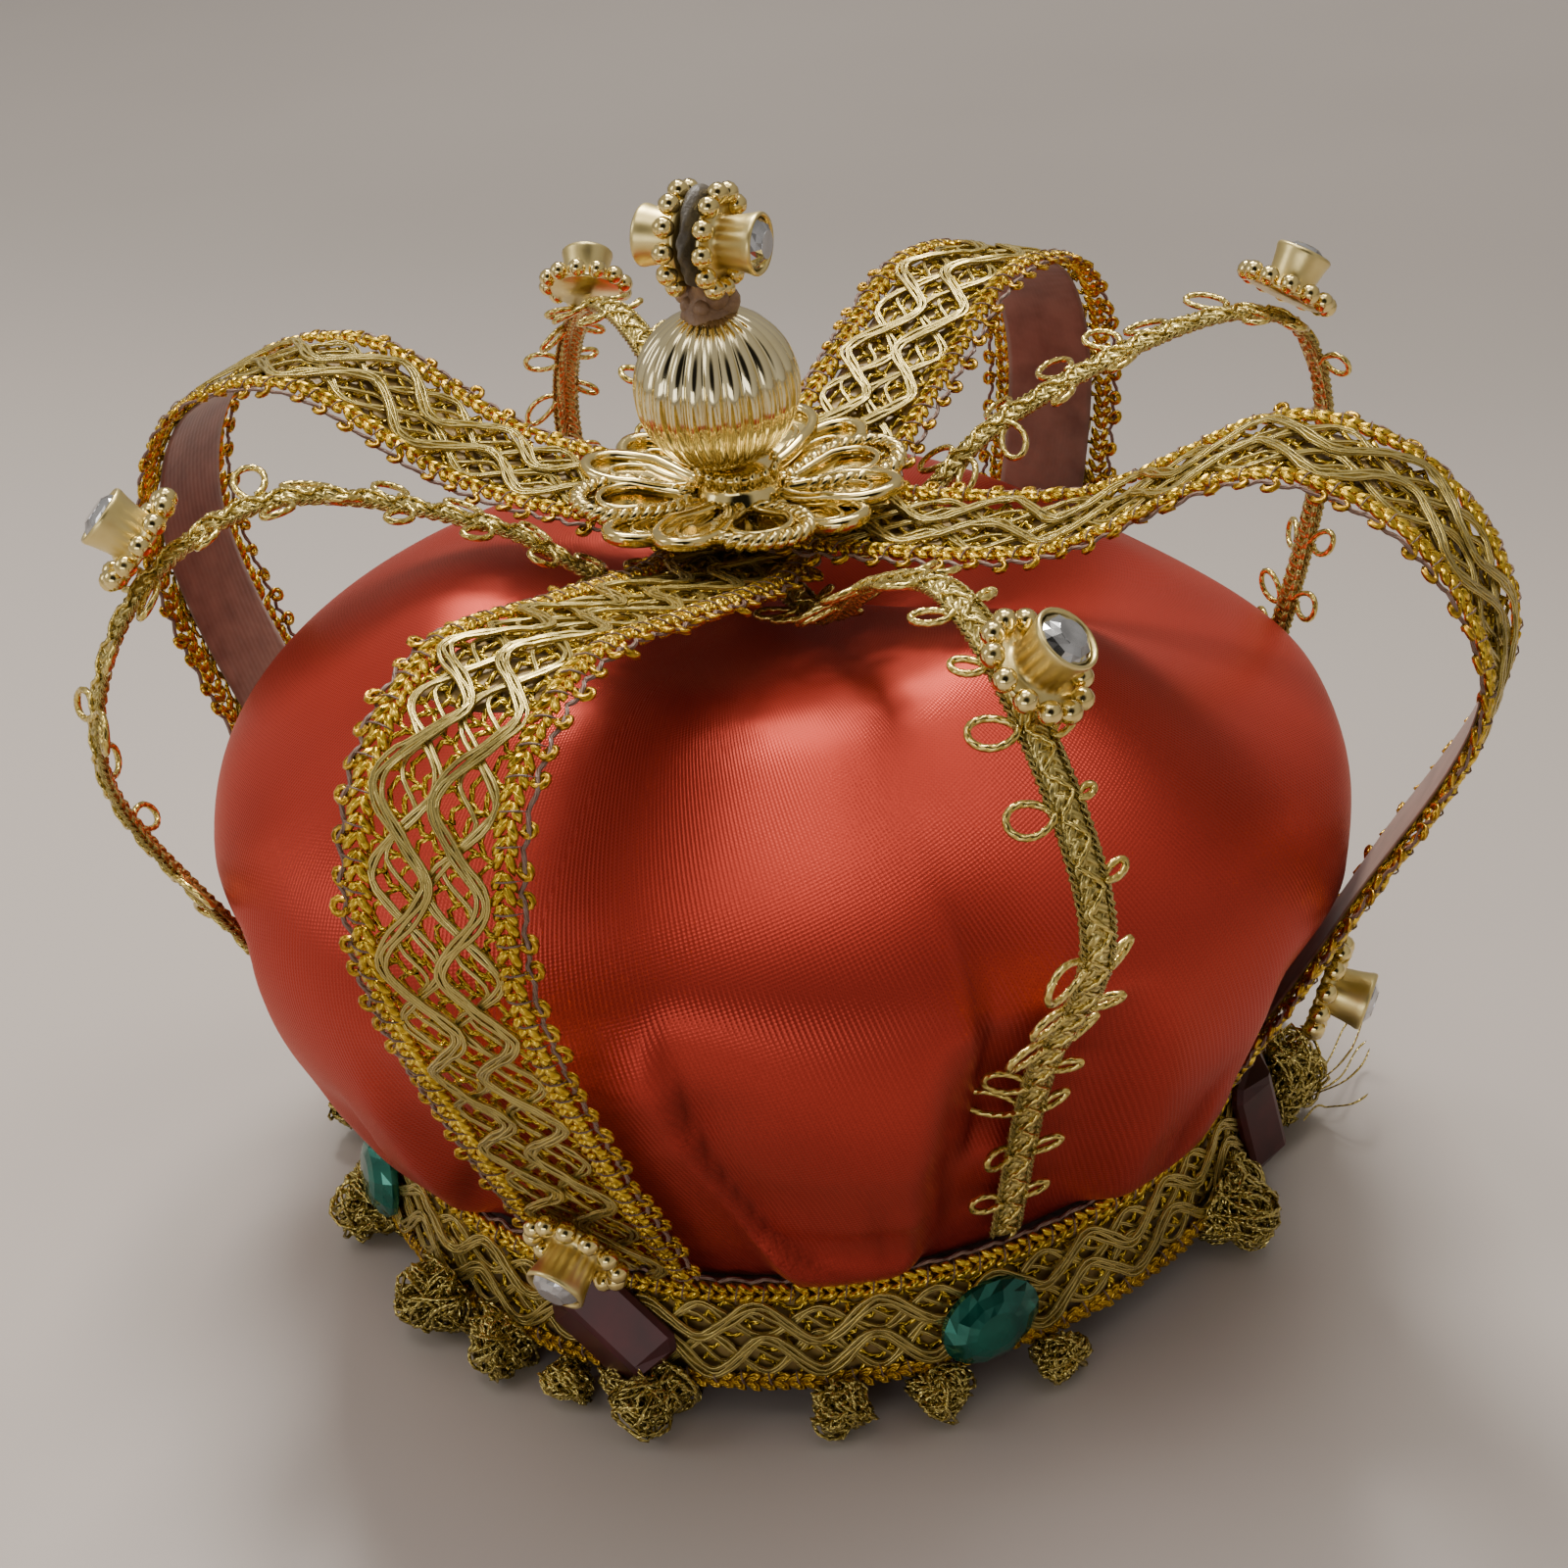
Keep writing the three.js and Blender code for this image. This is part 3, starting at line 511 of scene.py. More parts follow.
def loops(line, row, side, pitch, reach, wide, lift=0.1, steps=11, lean=0.0, tilt=0.25, spread=0.12, skip=0.0):
    """Picots: round loops standing out of one edge. Along the edge each goes as the sine of a full turn, outwards as
    one minus its cosine, then it is leant along the edge and tilted off the strip by its distance out."""
    u = np.arange(pitch, line["s"][-1] - pitch / 2, pitch)
    u = u + chance.normal(0, spread * pitch, len(u))
    u = u[chance.random(len(u)) >= skip]
    t = np.linspace(0.0, 1.0, steps)[None]
    size = 1 + chance.normal(0, 0.1, (len(u), 1))
    away = reach * size * (1 - np.cos(TAU * t)) / 2
    du = wide / 2 * size * np.sin(TAU * t) * (0.55 + 0.45 * np.sin(np.pi * t))
    du = du + chance.normal(lean, 0.2, (len(u), 1)) * away
    rise = lift + 0.5 * (t - 0.5) + chance.normal(0, tilt, (len(u), 1)) * away
    return lay(line, u[:, None] + du, row + side * away, rise)


def strand(bundle, line, middle, swing, period, lift, filaments, look):
    """One strand of an eye: it crosses from side to side as a sine less a little of its third harmonic,
    and is a few filaments side by side that part and close again."""
    u = np.linspace(0, line["s"][-1], int(line["s"][-1] / 0.55))
    phase = TAU * u / period + 0.3 * np.sin(u / 9.1 + middle)
    v = middle + swing * (np.sin(phase) - 0.03 * np.sin(3 * phase)) + 0.22 * np.sin(u / 2.3 + 3 * middle)
    slope = np.gradient(v, u)
    away = 0.37 * (np.arange(filaments) - (filaments - 1) / 2)[:, None]
    away = away * (1 + 0.22 * np.sin(u / 1.7 + middle)) + 0.06 * np.sin(u[None] * 2.1 + 9 * away)
    height = lift + 0.07 * np.sin(u[None] * 1.3 + 20 * away) + 0.1 * np.abs(np.cos(phase))
    path, out = lay(line, u - away * slope / np.hypot(1, slope), v + away / np.hypot(1, slope), height)
    add_tubes(bundle, path, out, 0.43, 0.36, 5, look=look)


def braid(bundle, line, spec, back_from):
    """Lays one braid along a line: columns of eyes, each a strand over its mirror strand, between chains, with a net of
    wavy threads below, a thin thread and picots at the edges, and a woven back."""
    length = line["s"][-1]
    for middle, swing in spec["eyes"]:
        strand(bundle, line, middle, swing, spec["period"], 0.78, 3, 1)
        strand(bundle, line, middle, -swing, spec["period"], 0.42, 2, 1)
        strand(bundle, line, middle, 0.45 * swing, spec["period"] * 0.5, 0.3, 1, 1)
    for row, lean, look in spec["chains"]:
        bundle.grids(stitches(line, row, lean), look=look)
    low, high, count = spec["net"]
    u = np.linspace(0, length, int(length / 0.5))[None]
    rows = np.linspace(low, high, count)[:, None]
    phase = u * TAU / 2.5 + 2.1 * np.arange(count)[:, None] + 0.9 * np.sin(u / 3.1 + rows)
    path, out = lay(line, u + 0.5 * np.cos(phase), rows + 0.8 * np.sin(phase), 0.1 + 0.2 * np.cos(phase * 2 + 0.6))
    add_tubes(bundle, path, out, 0.46, 0.38, 4, look=3)
    for row, side in spec["mauve"]:
        v = row + side * 0.5 * np.abs(np.sin(np.pi * u / 2.8)) + 0.05 * np.sin(u * 4.1)
        path, out = lay(line, u, v, 0.25 + 0.12 * np.sin(u * 2.2))
        add_tubes(bundle, path, out, 0.42, 0.34, 4, look=4)
    for row, side in spec["picots"]:
        path, out = loops(line, row, side, 2.75, 1.0, 1.05, 0.15)
        add_tubes(bundle, path, out, 0.62, 0.55, 5, look=2, ends=False)
    for inner, outer in spec["ties"]:
        at = np.arange(0.8, length, 2.3)
        share = np.linspace(0, 1, 5)
        path, out = lay(line, at[:, None] + 0.4 * share, (inner + (outer - inner) * share)[None],
                        0.4 + 0.6 * np.sin(np.pi * share)[None])
        add_tubes(bundle, path, out, 0.17, 0.17, 4, look=4)
    low, high = spec["back"]
    u = np.linspace(back_from, length, int(length / 1.2))[None]
    path, out = lay(line, u, (low + high) / 2, -0.35)
    add_tubes(bundle, path, out, high - low, 0.22, 12, look=5, square=0.4)
    path, out = lay(line, u, (low + high) / 2, -0.2)
    add_tubes(bundle, path, out, high - low - 0.4, 0.1, 8, look=6, square=0.4)


BRAID_LOOKS = [CHAIN_GOLD, PALE_STRAND, EDGE_GOLD, NET_GOLD, MAUVE]


def make_braids():
    runs = [("wide_braid_front", strip_line("front", "back", 63.45), WIDE_BRAID, 66, RIBBON, "wide_strip_front"),
            ("wide_braid_side", strip_line("right", "left", 65.15), WIDE_BRAID, 0, RIBBON, "wide_strip_side"),
            ("band_braid", band_line(), BAND_BRAID, 0, BAND_BACK, "base_band")]
    for name, line, spec, back_from, back, node in runs:
        bundle = Bundle()
        braid(bundle, line, spec, back_from)
        bundle.piece(name, [*BRAID_LOOKS, back, GOLD_GROUND], "braid_gold", node)


def make_gimp():
    """Narrow gimp: four flat strands crossing in pairs, a bright zigzag over them, a wound thread along each edge, and
    round wire picots."""
    for name, start, end, z in (("gimp_front", "front_right", "back_left", 59.9),
                                ("gimp_side", "back_right", "front_left", 61.8)):
        line, bundle = strip_line(start, end, z), Bundle()
        u = np.linspace(0, line["s"][-1], int(line["s"][-1] / 0.36))[None]
        phase = TAU * (u / 4.4 + np.arange(4)[:, None] / 4)
        path, out = lay(line, u, 0.78 * np.sin(phase), 0.05 + 0.26 * np.cos(2 * phase + 0.4))
        add_tubes(bundle, path, out, 0.95, 0.7, 6, look=0)
        zigzag = 0.85 * np.arcsin(np.sin(TAU * u / 3.4)) / 1.57
        path, out = lay(line, u, zigzag, 0.62 + 0.1 * np.cos(TAU * u / 1.7))
        add_tubes(bundle, path, out, 0.42, None, 5, look=1)
        turn = TAU * u / 1.3
        for side in (-1, 1):
            phase = turn + np.array([[0], [np.pi]])
            path, out = lay(line, u, side * 1.22 + 0.19 * np.cos(phase), 0.1 + 0.19 * np.sin(phase))
            add_tubes(bundle, path, out, 0.4, None, 3, look=0)
            reach, wide = (3.1, 2.7) if side < 0 or name == "gimp_side" else (2.0, 1.1)
            path, out = loops(line, side * 1.1, side, 6.0, reach, wide, 0.15, 20, 0.3, 0.25, 0.09, 0.08)
            add_tubes(bundle, path, out, 0.6, None, 6, look=1, ends=False)
        bundle.piece(name, [GIMP_GOLD, PICOT_GOLD], "gimp_gold", "gimp_strip_" + name[5:])


# ---- the puff

# Radius and height of the satin from under its middle, out round the hem and up to the top.
PUFF_OUTLINE = [(0.6, 12.4), (20, 12.3), (38, 12.3), (40.1, 12.6), (41.0, 13.8), (44.0, 14.8), (46.8, 17.8),
                (49.0, 22.2), (50.6, 27.4), (52.3, 32.6), (53.1, 37.6), (52.8, 42.4), (51.0, 47.0), (47.4, 51.0),
                (42.0, 54.2), (34.0, 56.5), (24.0, 57.7), (12.0, 58.1), (0.6, 58.2)]
PUFF_ROUND = 330.0  # about how far it is round the puff, for its UV in millimetres
# Flaps of the satin, each a line through (azimuth, height) points from its foot to its head, fading over the last of
# them: how far its right side lies under its left, how sharp its edge is and how far the lower side spreads, in
# millimetres. A negative height lays it the other way.
FLAPS = [
    ([(27, 16.5), (22, 19.5), (18, 23.5), (14.5, 31), (13, 37), (11.5, 48)], 2.4, 0.4, 8.0),
    ([(39, 25), (39, 33), (39, 42), (38, 54)], 1.5, 0.45, 6.0),
    ([(30, 16), (29, 21), (28, 30)], 0.7, 0.7, 3.0),
    ([(37, 16), (36.5, 24), (35, 31)], 1.0, 0.6, 3.5),
    ([(62, 15.2), (64, 21), (66, 30)], -1.1, 0.5, 5.0),
    ([(76, 15.2), (73, 19), (69, 26)], 1.0, 0.5, 4.5),
    ([(-22, 15.2), (-14, 26), (-9, 38)], 1.2, 0.5, 5.5),
    ([(-30, 15.2), (-27, 22), (-24, 32)], -1.2, 0.5, 5.5),
    ([(-62, 15.2), (-66, 28), (-64, 42)], 1.2, 0.6, 7.0),
    ([(108, 15.2), (113, 26), (111, 40)], 0.9, 0.5, 5.0),
    ([(150, 15.2), (148, 24), (152, 38)], -1.0, 0.5, 5.5),
    ([(200, 15.2), (203, 26), (199, 40)], 1.1, 0.5, 5.5),
    ([(246, 15.2), (243, 24), (247, 36)], -0.9, 0.5, 5.0),
]
# Broad dents: azimuth, height, depth, and their spread in degrees and millimetres.
DENTS = [(296, 32, -5.0, 14, 8), (140, 54, -8.0, 26, 9), (106, 53, -6.5, 24, 6), (108, 37, -3.0, 18, 7),
         (37.5, 28, -1.6, 3, 4), (150, 20, -1.4, 7, 10), (200, 22, -1.4, 7, 11), (246, 20, -1.2, 6, 9),
         (336, 18, -1.2, 5, 8)]


def wrap_degrees(d):
    return (d + 180) % 360 - 180


def leg_radius(arch, z):
    """Radius of an arch's middle line between its foot and its belly."""
    belly, waist, foot = ARCHES[arch][5:8]
    return np.interp(z, [foot[1], waist[1], belly[1]], [foot[0], waist[0], belly[0]])


def press_in(azimuth, r, z):
    """The radius held inside the legs of the arches, blended out beside each leg."""
    for arch, row in ARCHES.items():
        half = 8.4 if len(arch) < 6 else 1.9
        off = np.abs(np.radians(wrap_degrees(azimuth - row[0]))) * r
        press = 1 - step_between(half + 1.2, half + 9.0, off)
        r = r - np.maximum(0, r - leg_radius(arch, z) + 1.3) * press * (z > 14)
    return r


def fold_gain(azimuth, r, z):
    """How far the folds sink the satin: across a flap's line, which bends with height, a step down in the hyperbolic
    tangent of the distance, dying away as a bell on the lower side. Also how much painted crease shade each point
    gets: a bell just under the flap's edge, darkening the satin's colour there."""
    gain, crease_shade = np.zeros_like(r), np.zeros_like(r)
    for points, height, edge, wide in FLAPS:
        across, up = np.array(points, float).T
        slope = np.radians(np.interp(z + 0.5, up, across) - np.interp(z - 0.5, up, across)) * r
        off = np.radians(wrap_degrees(azimuth - np.interp(z, up, across))) * r / np.sqrt(1 + slope ** 2)
        fade = (1 - step_between(up[-2], up[-1] + 2, z)) * step_between(up[0], up[0] + 4, z)
        side = off * np.sign(height)
        gain -= fade * abs(height) * 0.5 * (1 + np.tanh(side / edge)) * np.exp(-(np.maximum(side, 0) / wide) ** 2)
        # Painted shade: a bell just under each flap's edge, where the satin's colour is darkened.
        crease_shade += fade * min(1.0, 0.6 * abs(height)) * np.exp(-((side - 0.5) / 0.75) ** 2)
    return step_between(15.0, 23.0, z) * (r > 3) * gain, np.minimum(crease_shade, 1)


def puff_skin(columns=176):
    """The stuffed satin before it is blown up: an outline turned about the axis, sunk at the back right and bulging up
    in front, with broad dents and the presses of the arches."""
    s, outline = smooth_line(np.array(PUFF_OUTLINE, float), 1.4)
    azimuth = np.arange(columns) * 360 / columns
    r = np.repeat(outline[:, :1], columns, 1)
    z = np.repeat(outline[:, 1:], columns, 1)
    z = z - 6.0 * np.exp(-(wrap_degrees(azimuth - 138) / 38) ** 2) * step_between(36, 56, z)
    z = z + 2.7 * np.exp(-((r - 28) / 10) ** 2) * (1 - step_between(70, 115, np.abs(wrap_degrees(azimuth)))) * (z > 45)
    for a, height, depth, wide, tall in DENTS:
        bell = np.exp(-(wrap_degrees(azimuth - a) / wide) ** 2 - ((z - height) / tall) ** 2)
        r = r + depth * bell * step_between(14.4, 17.5, z) * (r > 3)
    return s, around(azimuth, press_in(azimuth, r, z), z)


def inflate(piece, held, limit):
    """Blows the cloth up a little with Blender's Cloth, held at its hem, and keeps each point within the limit of where
    it was."""
    scene = bpy.context.scene
    before = np.empty(len(piece.data.vertices) * 3)
    piece.data.vertices.foreach_get("co", before)
    group = piece.vertex_groups.new(name="held")
    group.add([int(i) for i in np.flatnonzero(held)], 1.0, "REPLACE")
    cloth = piece.modifiers.new("cloth", "CLOTH")
    settings = cloth.settings
    settings.vertex_group_mass = "held"
    settings.quality = 5
    settings.use_pressure = True
    settings.uniform_pressure_force = 3.0
    settings.tension_stiffness = settings.compression_stiffness = 18
    settings.bending_stiffness = 0.4
    settings.effector_weights.gravity = 0
    for number in range(1, 17):
        scene.frame_set(number)
    shape = piece.evaluated_get(bpy.context.evaluated_depsgraph_get()).to_mesh()
    after = np.empty_like(before)
    shape.vertices.foreach_get("co", after)
    piece.modifiers.remove(cloth)
    piece.vertex_groups.remove(group)
    move = (after - before).reshape(-1, 3)
    far = np.linalg.norm(move, axis=1, keepdims=True)
    move *= limit / np.maximum(far, limit)
    piece.data.vertices.foreach_set("co", before + move.ravel())
    piece.data.update()
    scene.frame_set(1)


def make_puff():
    s, skin = puff_skin()
    bundle = Bundle()
    bundle.grids(skin[None], s, look=0)
    bundle.uv[0][..., 1] *= PUFF_ROUND
    piece = bundle.piece("satin_cover", [SATIN], "satin", "satin_puff")
    inflate(piece, skin[..., 2].ravel() < 15.0, 0.0009)
    smooth = piece.modifiers.new("smooth", "SUBSURF")
    smooth.levels = smooth.render_levels = smooth.quality = 1
    piece.data = bpy.data.meshes.new_from_object(piece.evaluated_get(bpy.context.evaluated_depsgraph_get()))
    piece.modifiers.clear()
    co = np.empty(len(piece.data.vertices) * 3)
    piece.data.vertices.foreach_get("co", co)
    x, y, z = co.reshape(-1, 3).T / MM
    azimuth, r = np.degrees(np.arctan2(x, -y)), np.hypot(x, y)
    gain, crease_shade = fold_gain(azimuth, r, z)
    r = press_in(azimuth, r + gain, z)
    # This attribute carries the painted crease shade to the satin's colour.
    piece.data.attributes.new("crease_shade", "FLOAT", "POINT").data.foreach_set("value", crease_shade)
    piece.data.vertices.foreach_set("co", (around(azimuth, r, z) * MM).ravel())
    piece.data.update()


# ---- settings and stones

def seat(node, up_node=None, upward=None):
    """A node's middle and its three directions from its spread of points: the first is its longest way, the third its
    thinnest, pointing towards another node or along a given direction."""
    p = node_points(node)
    middle = p.mean(0)
    _, ways = np.linalg.eigh(np.cov((p - middle).T))
    thin, longest = ways[:, 0], ways[:, 2]
    towards = node_points(up_node).mean(0) - middle if up_node else upward(middle)
    thin = thin if thin @ towards > 0 else -thin
    longest = longest if longest[2] > 0 else -longest
    base = middle + thin * (((p - middle) @ thin).min())
    return base, np.stack([np.cross(longest, thin), longest, thin], 1)


def put(shape, seats):
    """Copies of a shape, given in a seat's own directions, on every seat."""
    return np.stack([base + np.einsum("...k,ik->...i", shape, turn) for base, turn in seats])


SETTINGS = ["front_right", "back_right", "back_left", "front_left", "front", "right", "back", "left",
            "finial_right", "finial_left"]
# Radius and height of a setting's plate, cup and lip, and the rings of its stone and of the oval stones.
CUP = [(0.05, 0.05), (3.5, 0.05), (3.75, 0.3), (3.5, 0.6), (2.5, 0.7), (2.2, 0.9), (2.15, 1.4), (2.3, 2.6), (2.48, 3.6),
       (2.62, 4.1), (2.62, 4.35), (2.5, 4.5), (2.32, 4.42), (2.2, 4.2), (2.1, 3.2), (0.05, 2.6)]
ROUND_CUT = [(0.98, 3.55, 0), (1.0, 4.2, 0), (0.86, 4.62, 0.07), (0.58, 4.98, 0.05), (0.56, 5.02, 0), (0.01, 5.02, 0)]
OVAL_CUT = [(0.9, 0.02, 0), (1.0, 0.25, 0), (1.0, 0.85, 0), (0.86, 1.6, 0.06), (0.66, 2.2, 0.05), (0.44, 2.5, 0),
            (0.01, 2.62, 0)]


def make_settings():
    """Beaded settings: a ring of balls on the rim of a plate, round a cup with a rolled lip."""
    seats = [seat("setting_" + n, "rhinestone_" + n) for n in SETTINGS]
    bundle = Bundle()
    ball = ball_grid(7, 10)
    for k in range(12):
        a = TAU * k / 12
        spot = np.array([np.cos(a), np.sin(a), 0])
        bundle.grids(put(ball * 0.95 + spot * 4.0 + [0, 0, 0.85], seats))
    bundle.grids(put(lathe_grid(CUP, 30), seats), look=1)
    bundle.piece("settings", [POLISHED, CUP_GOLD], "polished_gold", *("setting_" + n for n in SETTINGS))

    stones = Bundle()
    stones.grids(put(facets(16, 2.1, 2.1, ROUND_CUT), seats), flat=True)
    stones.piece("rhinestones", [CLEAR_STONE], "clear_stone", *("rhinestone_" + n for n in SETTINGS))


def facets(corners, across, along, rings):
    """A cut stone: rings (share of the outline, height, how far every second corner is drawn in) joined by flat
    facets."""
    a = TAU * np.arange(corners) / corners
    ring = np.stack([across * np.cos(a), along * np.sin(a)], -1)
    alternate = (np.arange(corners) % 2)[:, None]
    return np.stack([np.concatenate([ring * (share * (1 - drawn * alternate)), np.full((corners, 1), z)], 1)
                     for share, z, drawn in rings])


def make_band_stones():
    outward = lambda middle: middle * [1, 1, 0]
    emeralds = ["emerald_" + n for n in SETTINGS[:4]]
    rubies = ["ruby_" + n for n in SETTINGS[4:8]]
    bundle = Bundle()
    bundle.grids(put(facets(20, 3.6, 4.6, OVAL_CUT), [seat(n, None, outward) for n in emeralds]), flat=True)
    bundle.piece("emeralds", [EMERALD], "emerald_stone", *emeralds)
    bundle = Bundle()
    cut = np.array([(4, 4.2), (3.0, 5.2), (-3.0, 5.2), (-4, 4.2), (-4, -4.2), (-3.0, -5.2), (3.0, -5.2), (4, -4.2)])
    steps = [(0.94, 0.95, 0.02), (1, 1, 0.6), (0.93, 0.95, 1.1), (0.08, 0.86, 2.8), (0.005, 0.01, 2.82)]
    step_cut = np.stack([np.concatenate([cut * [x, y], np.full((8, 1), z)], 1) for x, y, z in steps])
    bundle.grids(put(step_cut, [seat(n, None, outward) for n in rubies]), flat=True)
    bundle.piece("rubies", [RUBY], "ruby_stone", *rubies)


# ---- flower, ball and finial

# Where the flower, the ball and the finial's core have their middles.
FLOWER_AT = np.array([-1.5, -0.7, 66.1])
BALL_AT = np.array([-2.5, -1.1, 77.0])
FINIAL_AT = np.array([-2.5, -1.1, 90.0])
# Rings of glue: height, half width and half depth, for the grey core between the plates and the brown neck under it.
GLUE_RINGS = [
    [(-3.6, 0.3, 0.8), (-3.4, 0.8, 2.0), (-2.2, 0.86, 3.4), (0, 0.88, 4.3), (2.2, 0.86, 3.6), (3.6, 0.8, 2.4),
     (4.4, 0.5, 1.0), (4.6, 0.1, 0.2)],
    [(-6.6, 2.3, 2.6), (-6.1, 2.3, 2.4), (-5.2, 1.5, 1.9), (-4.0, 1.1, 1.7), (-3.2, 0.8, 1.8), (-2.8, 0.2, 0.4)],
]


def petal_loop(reach, wide, start, steps=36):
    """An open petal outline from its root, out round the tip and back: across as sine, outwards as one minus cosine."""
    t = np.linspace(0.03, 0.97, steps)
    away = start + (reach - start) * ((1 - np.cos(TAU * t)) / 2) ** 0.8
    across = -wide / 2 * np.sin(TAU * t) * (0.55 + 0.45 * np.sin(np.pi * t))
    return np.stack([across, away], -1)


def petal_height(away):
    """The flower's dish: level by the middle, dipping a little, then turned up at the rim."""
    return 1.9 - 0.8 * np.sin(np.clip(away / 9, 0, 1) * np.pi) + 0.013 * np.maximum(away - 8, 0) ** 2


def on_petal(flat, azimuth, lift):
    x, away = flat[..., 0], flat[..., 1]
    a = azimuth + np.degrees(np.arctan2(x, np.maximum(away, 0.5)))
    return FLOWER_AT + around(a, np.hypot(x, away), petal_height(away) + lift)


def make_flower():
    """Twelve petals: every third one has a roped rim round a smooth bowl, the others are pairs of smooth open loops."""
    bundle = Bundle()
    up = lambda path: np.broadcast_to([0, 0, 1.0], path.shape)
    for k in range(4):
        azimuth = 34 + 90 * k
        rim = petal_loop(14.2, 8.6, 4.0, 90)
        path = on_petal(rim, azimuth, 0.2)
        along = unit(np.gradient(path, axis=0))
        side = unit(np.cross(along, [0, 0, 1.0]))
        turn = run_length(path[None])[0] * TAU / 2.2
        for phase in (0, np.pi):
            c, s = np.cos(turn + phase)[:, None], np.sin(turn + phase)[:, None]
            rope = path + 0.38 * (c * side + s * np.cross(side, along))
            add_tubes(bundle, rope[None], up(rope[None]), 0.95, None, 8)
        lip = petal_loop(12.4, 5.8, 4.5, 40)
        inner = on_petal(lip, azimuth, 0.25)[None]
        add_tubes(bundle, inner, up(inner), 0.7, 0.9, 8)
        t, share = np.meshgrid(np.linspace(0.04, 0.96, 24), np.linspace(0.02, 1, 7), indexing="ij")
        edge = np.stack([np.interp(t, np.linspace(0.03, 0.97, 40), lip[:, i]) for i in range(2)], -1)
        bowl = np.array([0, 8.5]) + (edge - [0, 8.5]) * share[..., None]
        bundle.grids(on_petal(bowl, azimuth, -0.3 - 0.5 * (1 - share**2))[None], wrap=False)
        for off in (-1, 1):
            lean = azimuth + 45 + off * 12.5
            for reach, wide, thick, lift in ((14.5, 5.9, 1.15, 0.1 + 0.25 * off), (12.2, 3.4, 0.5, -0.05 + 0.25 * off)):
                path = on_petal(petal_loop(reach, wide, 3.6, 40), lean, lift)[None]
                add_tubes(bundle, path, up(path), thick, thick * 1.1, 8, square=0.7)
            rim = petal_loop(14.2, 5.4, 4.0, 24)
            sheet = np.array([0, 9.5]) + (rim - [0, 9.5])[:, None] * np.linspace(0.02, 1, 4)[None, :, None]
            bundle.grids(on_petal(sheet, lean, -0.15 + 0.25 * off)[None], wrap=False)
    base = [(0.05, 0.5), (3.4, 0.4), (4.1, 0.7), (3.9, 1.3), (3.4, 2.0), (3.1, 2.7), (3.4, 3.4), (3.0, 3.8),
            (0.05, 3.9)]
    bundle.grids((lathe_grid(base, 40) + FLOWER_AT)[None])
    prong = ball_grid(6, 8) * [0.45, 0.45, 0.8]
    for k in range(16):
        bundle.grids((prong + around(k * 22.5, 3.45, 3.4) + FLOWER_AT)[None])
    bundle.piece("filigree_flower", [POLISHED], "polished_gold", "flower")


def make_ball():
    """A ribbed bead: a ball whose radius dips along grooves, by a power of the sine of twelve times the azimuth."""
    tilt = np.linspace(-np.pi / 2 + 0.03, np.pi / 2 - 0.03, 44)[:, None]
    a = np.arange(24 * 10) * 360 / (24 * 10)
    lobe = np.abs(np.sin(np.radians(a) * 12)) ** 0.8
    r = 7.2 * np.cos(tilt) * (1 - 0.08 * (1 - lobe) * np.cos(tilt) ** 0.35)
    bundle = Bundle()
    bundle.grids((around(a, r, 7.1 * np.sin(tilt)) + BALL_AT)[None])
    bundle.piece("ribbed_ball", [BALL_GOLD], "polished_gold", "fluted_ball")


def make_finial_glue():
    """Lumpy glue: flattened rings between the two plates and a brown neck on the ball, rippled by sines."""
    lean = 0.03
    turn = np.array([[np.cos(lean), 0, np.sin(lean)], [0, 1, 0], [-np.sin(lean), 0, np.cos(lean)]])
    bundle = Bundle()
    for look, rows in enumerate(GLUE_RINGS):
        s, rings = smooth_line(np.array(rows, float), 0.25)
        a = np.arange(28) * TAU / 28
        z, wide, deep = (rings[:, i:i + 1] for i in range(3))
        ripple = 1 + 0.06 * np.sin(3 * a + z * 2) + 0.04 * np.sin(7 * a - z * 3)
        shape = np.stack(np.broadcast_arrays(wide * np.cos(a) * ripple, deep * np.sin(a) * ripple, z), -1)
        bundle.grids((shape @ turn.T + FINIAL_AT)[None], s, look=look)
    for k in range(7):
        lump = ball_grid(8, 10) * (0.75 + 0.3 * (k % 3)) + around(k * 51 + 10, 1.6, -5.4 + 0.8 * (k % 2))
        bundle.grids((lump @ turn.T + FINIAL_AT)[None], look=1)
    bundle.piece("finial_core", [GLUE, COPPER_GLUE], "grey_glue", "finial_glue")


# ---- tufts

# Azimuth, length along the band, depth out from it, and height.
TUFTS = [(-48, 9, 7.5, 7), (-27, 8.5, 8, 8), (-16.5, 7.5, 7, 6.5), (-7, 5, 5, 4), (3, 9.5, 8.5, 7), (24, 6, 6, 5.5),
         (35, 6, 5.5, 5), (49, 6, 5, 4.5), (79, 10, 8.5, 8.5), (102, 10, 9.5, 11), (124, 8, 7.5, 7), (148, 9, 8, 7.5),
         (172, 7, 6.5, 6), (197, 9, 7.5, 7.5), (221, 8, 7, 6.5), (245, 9, 8, 7.5), (268, 7, 6.5, 6), (291, 9, 8, 7)]


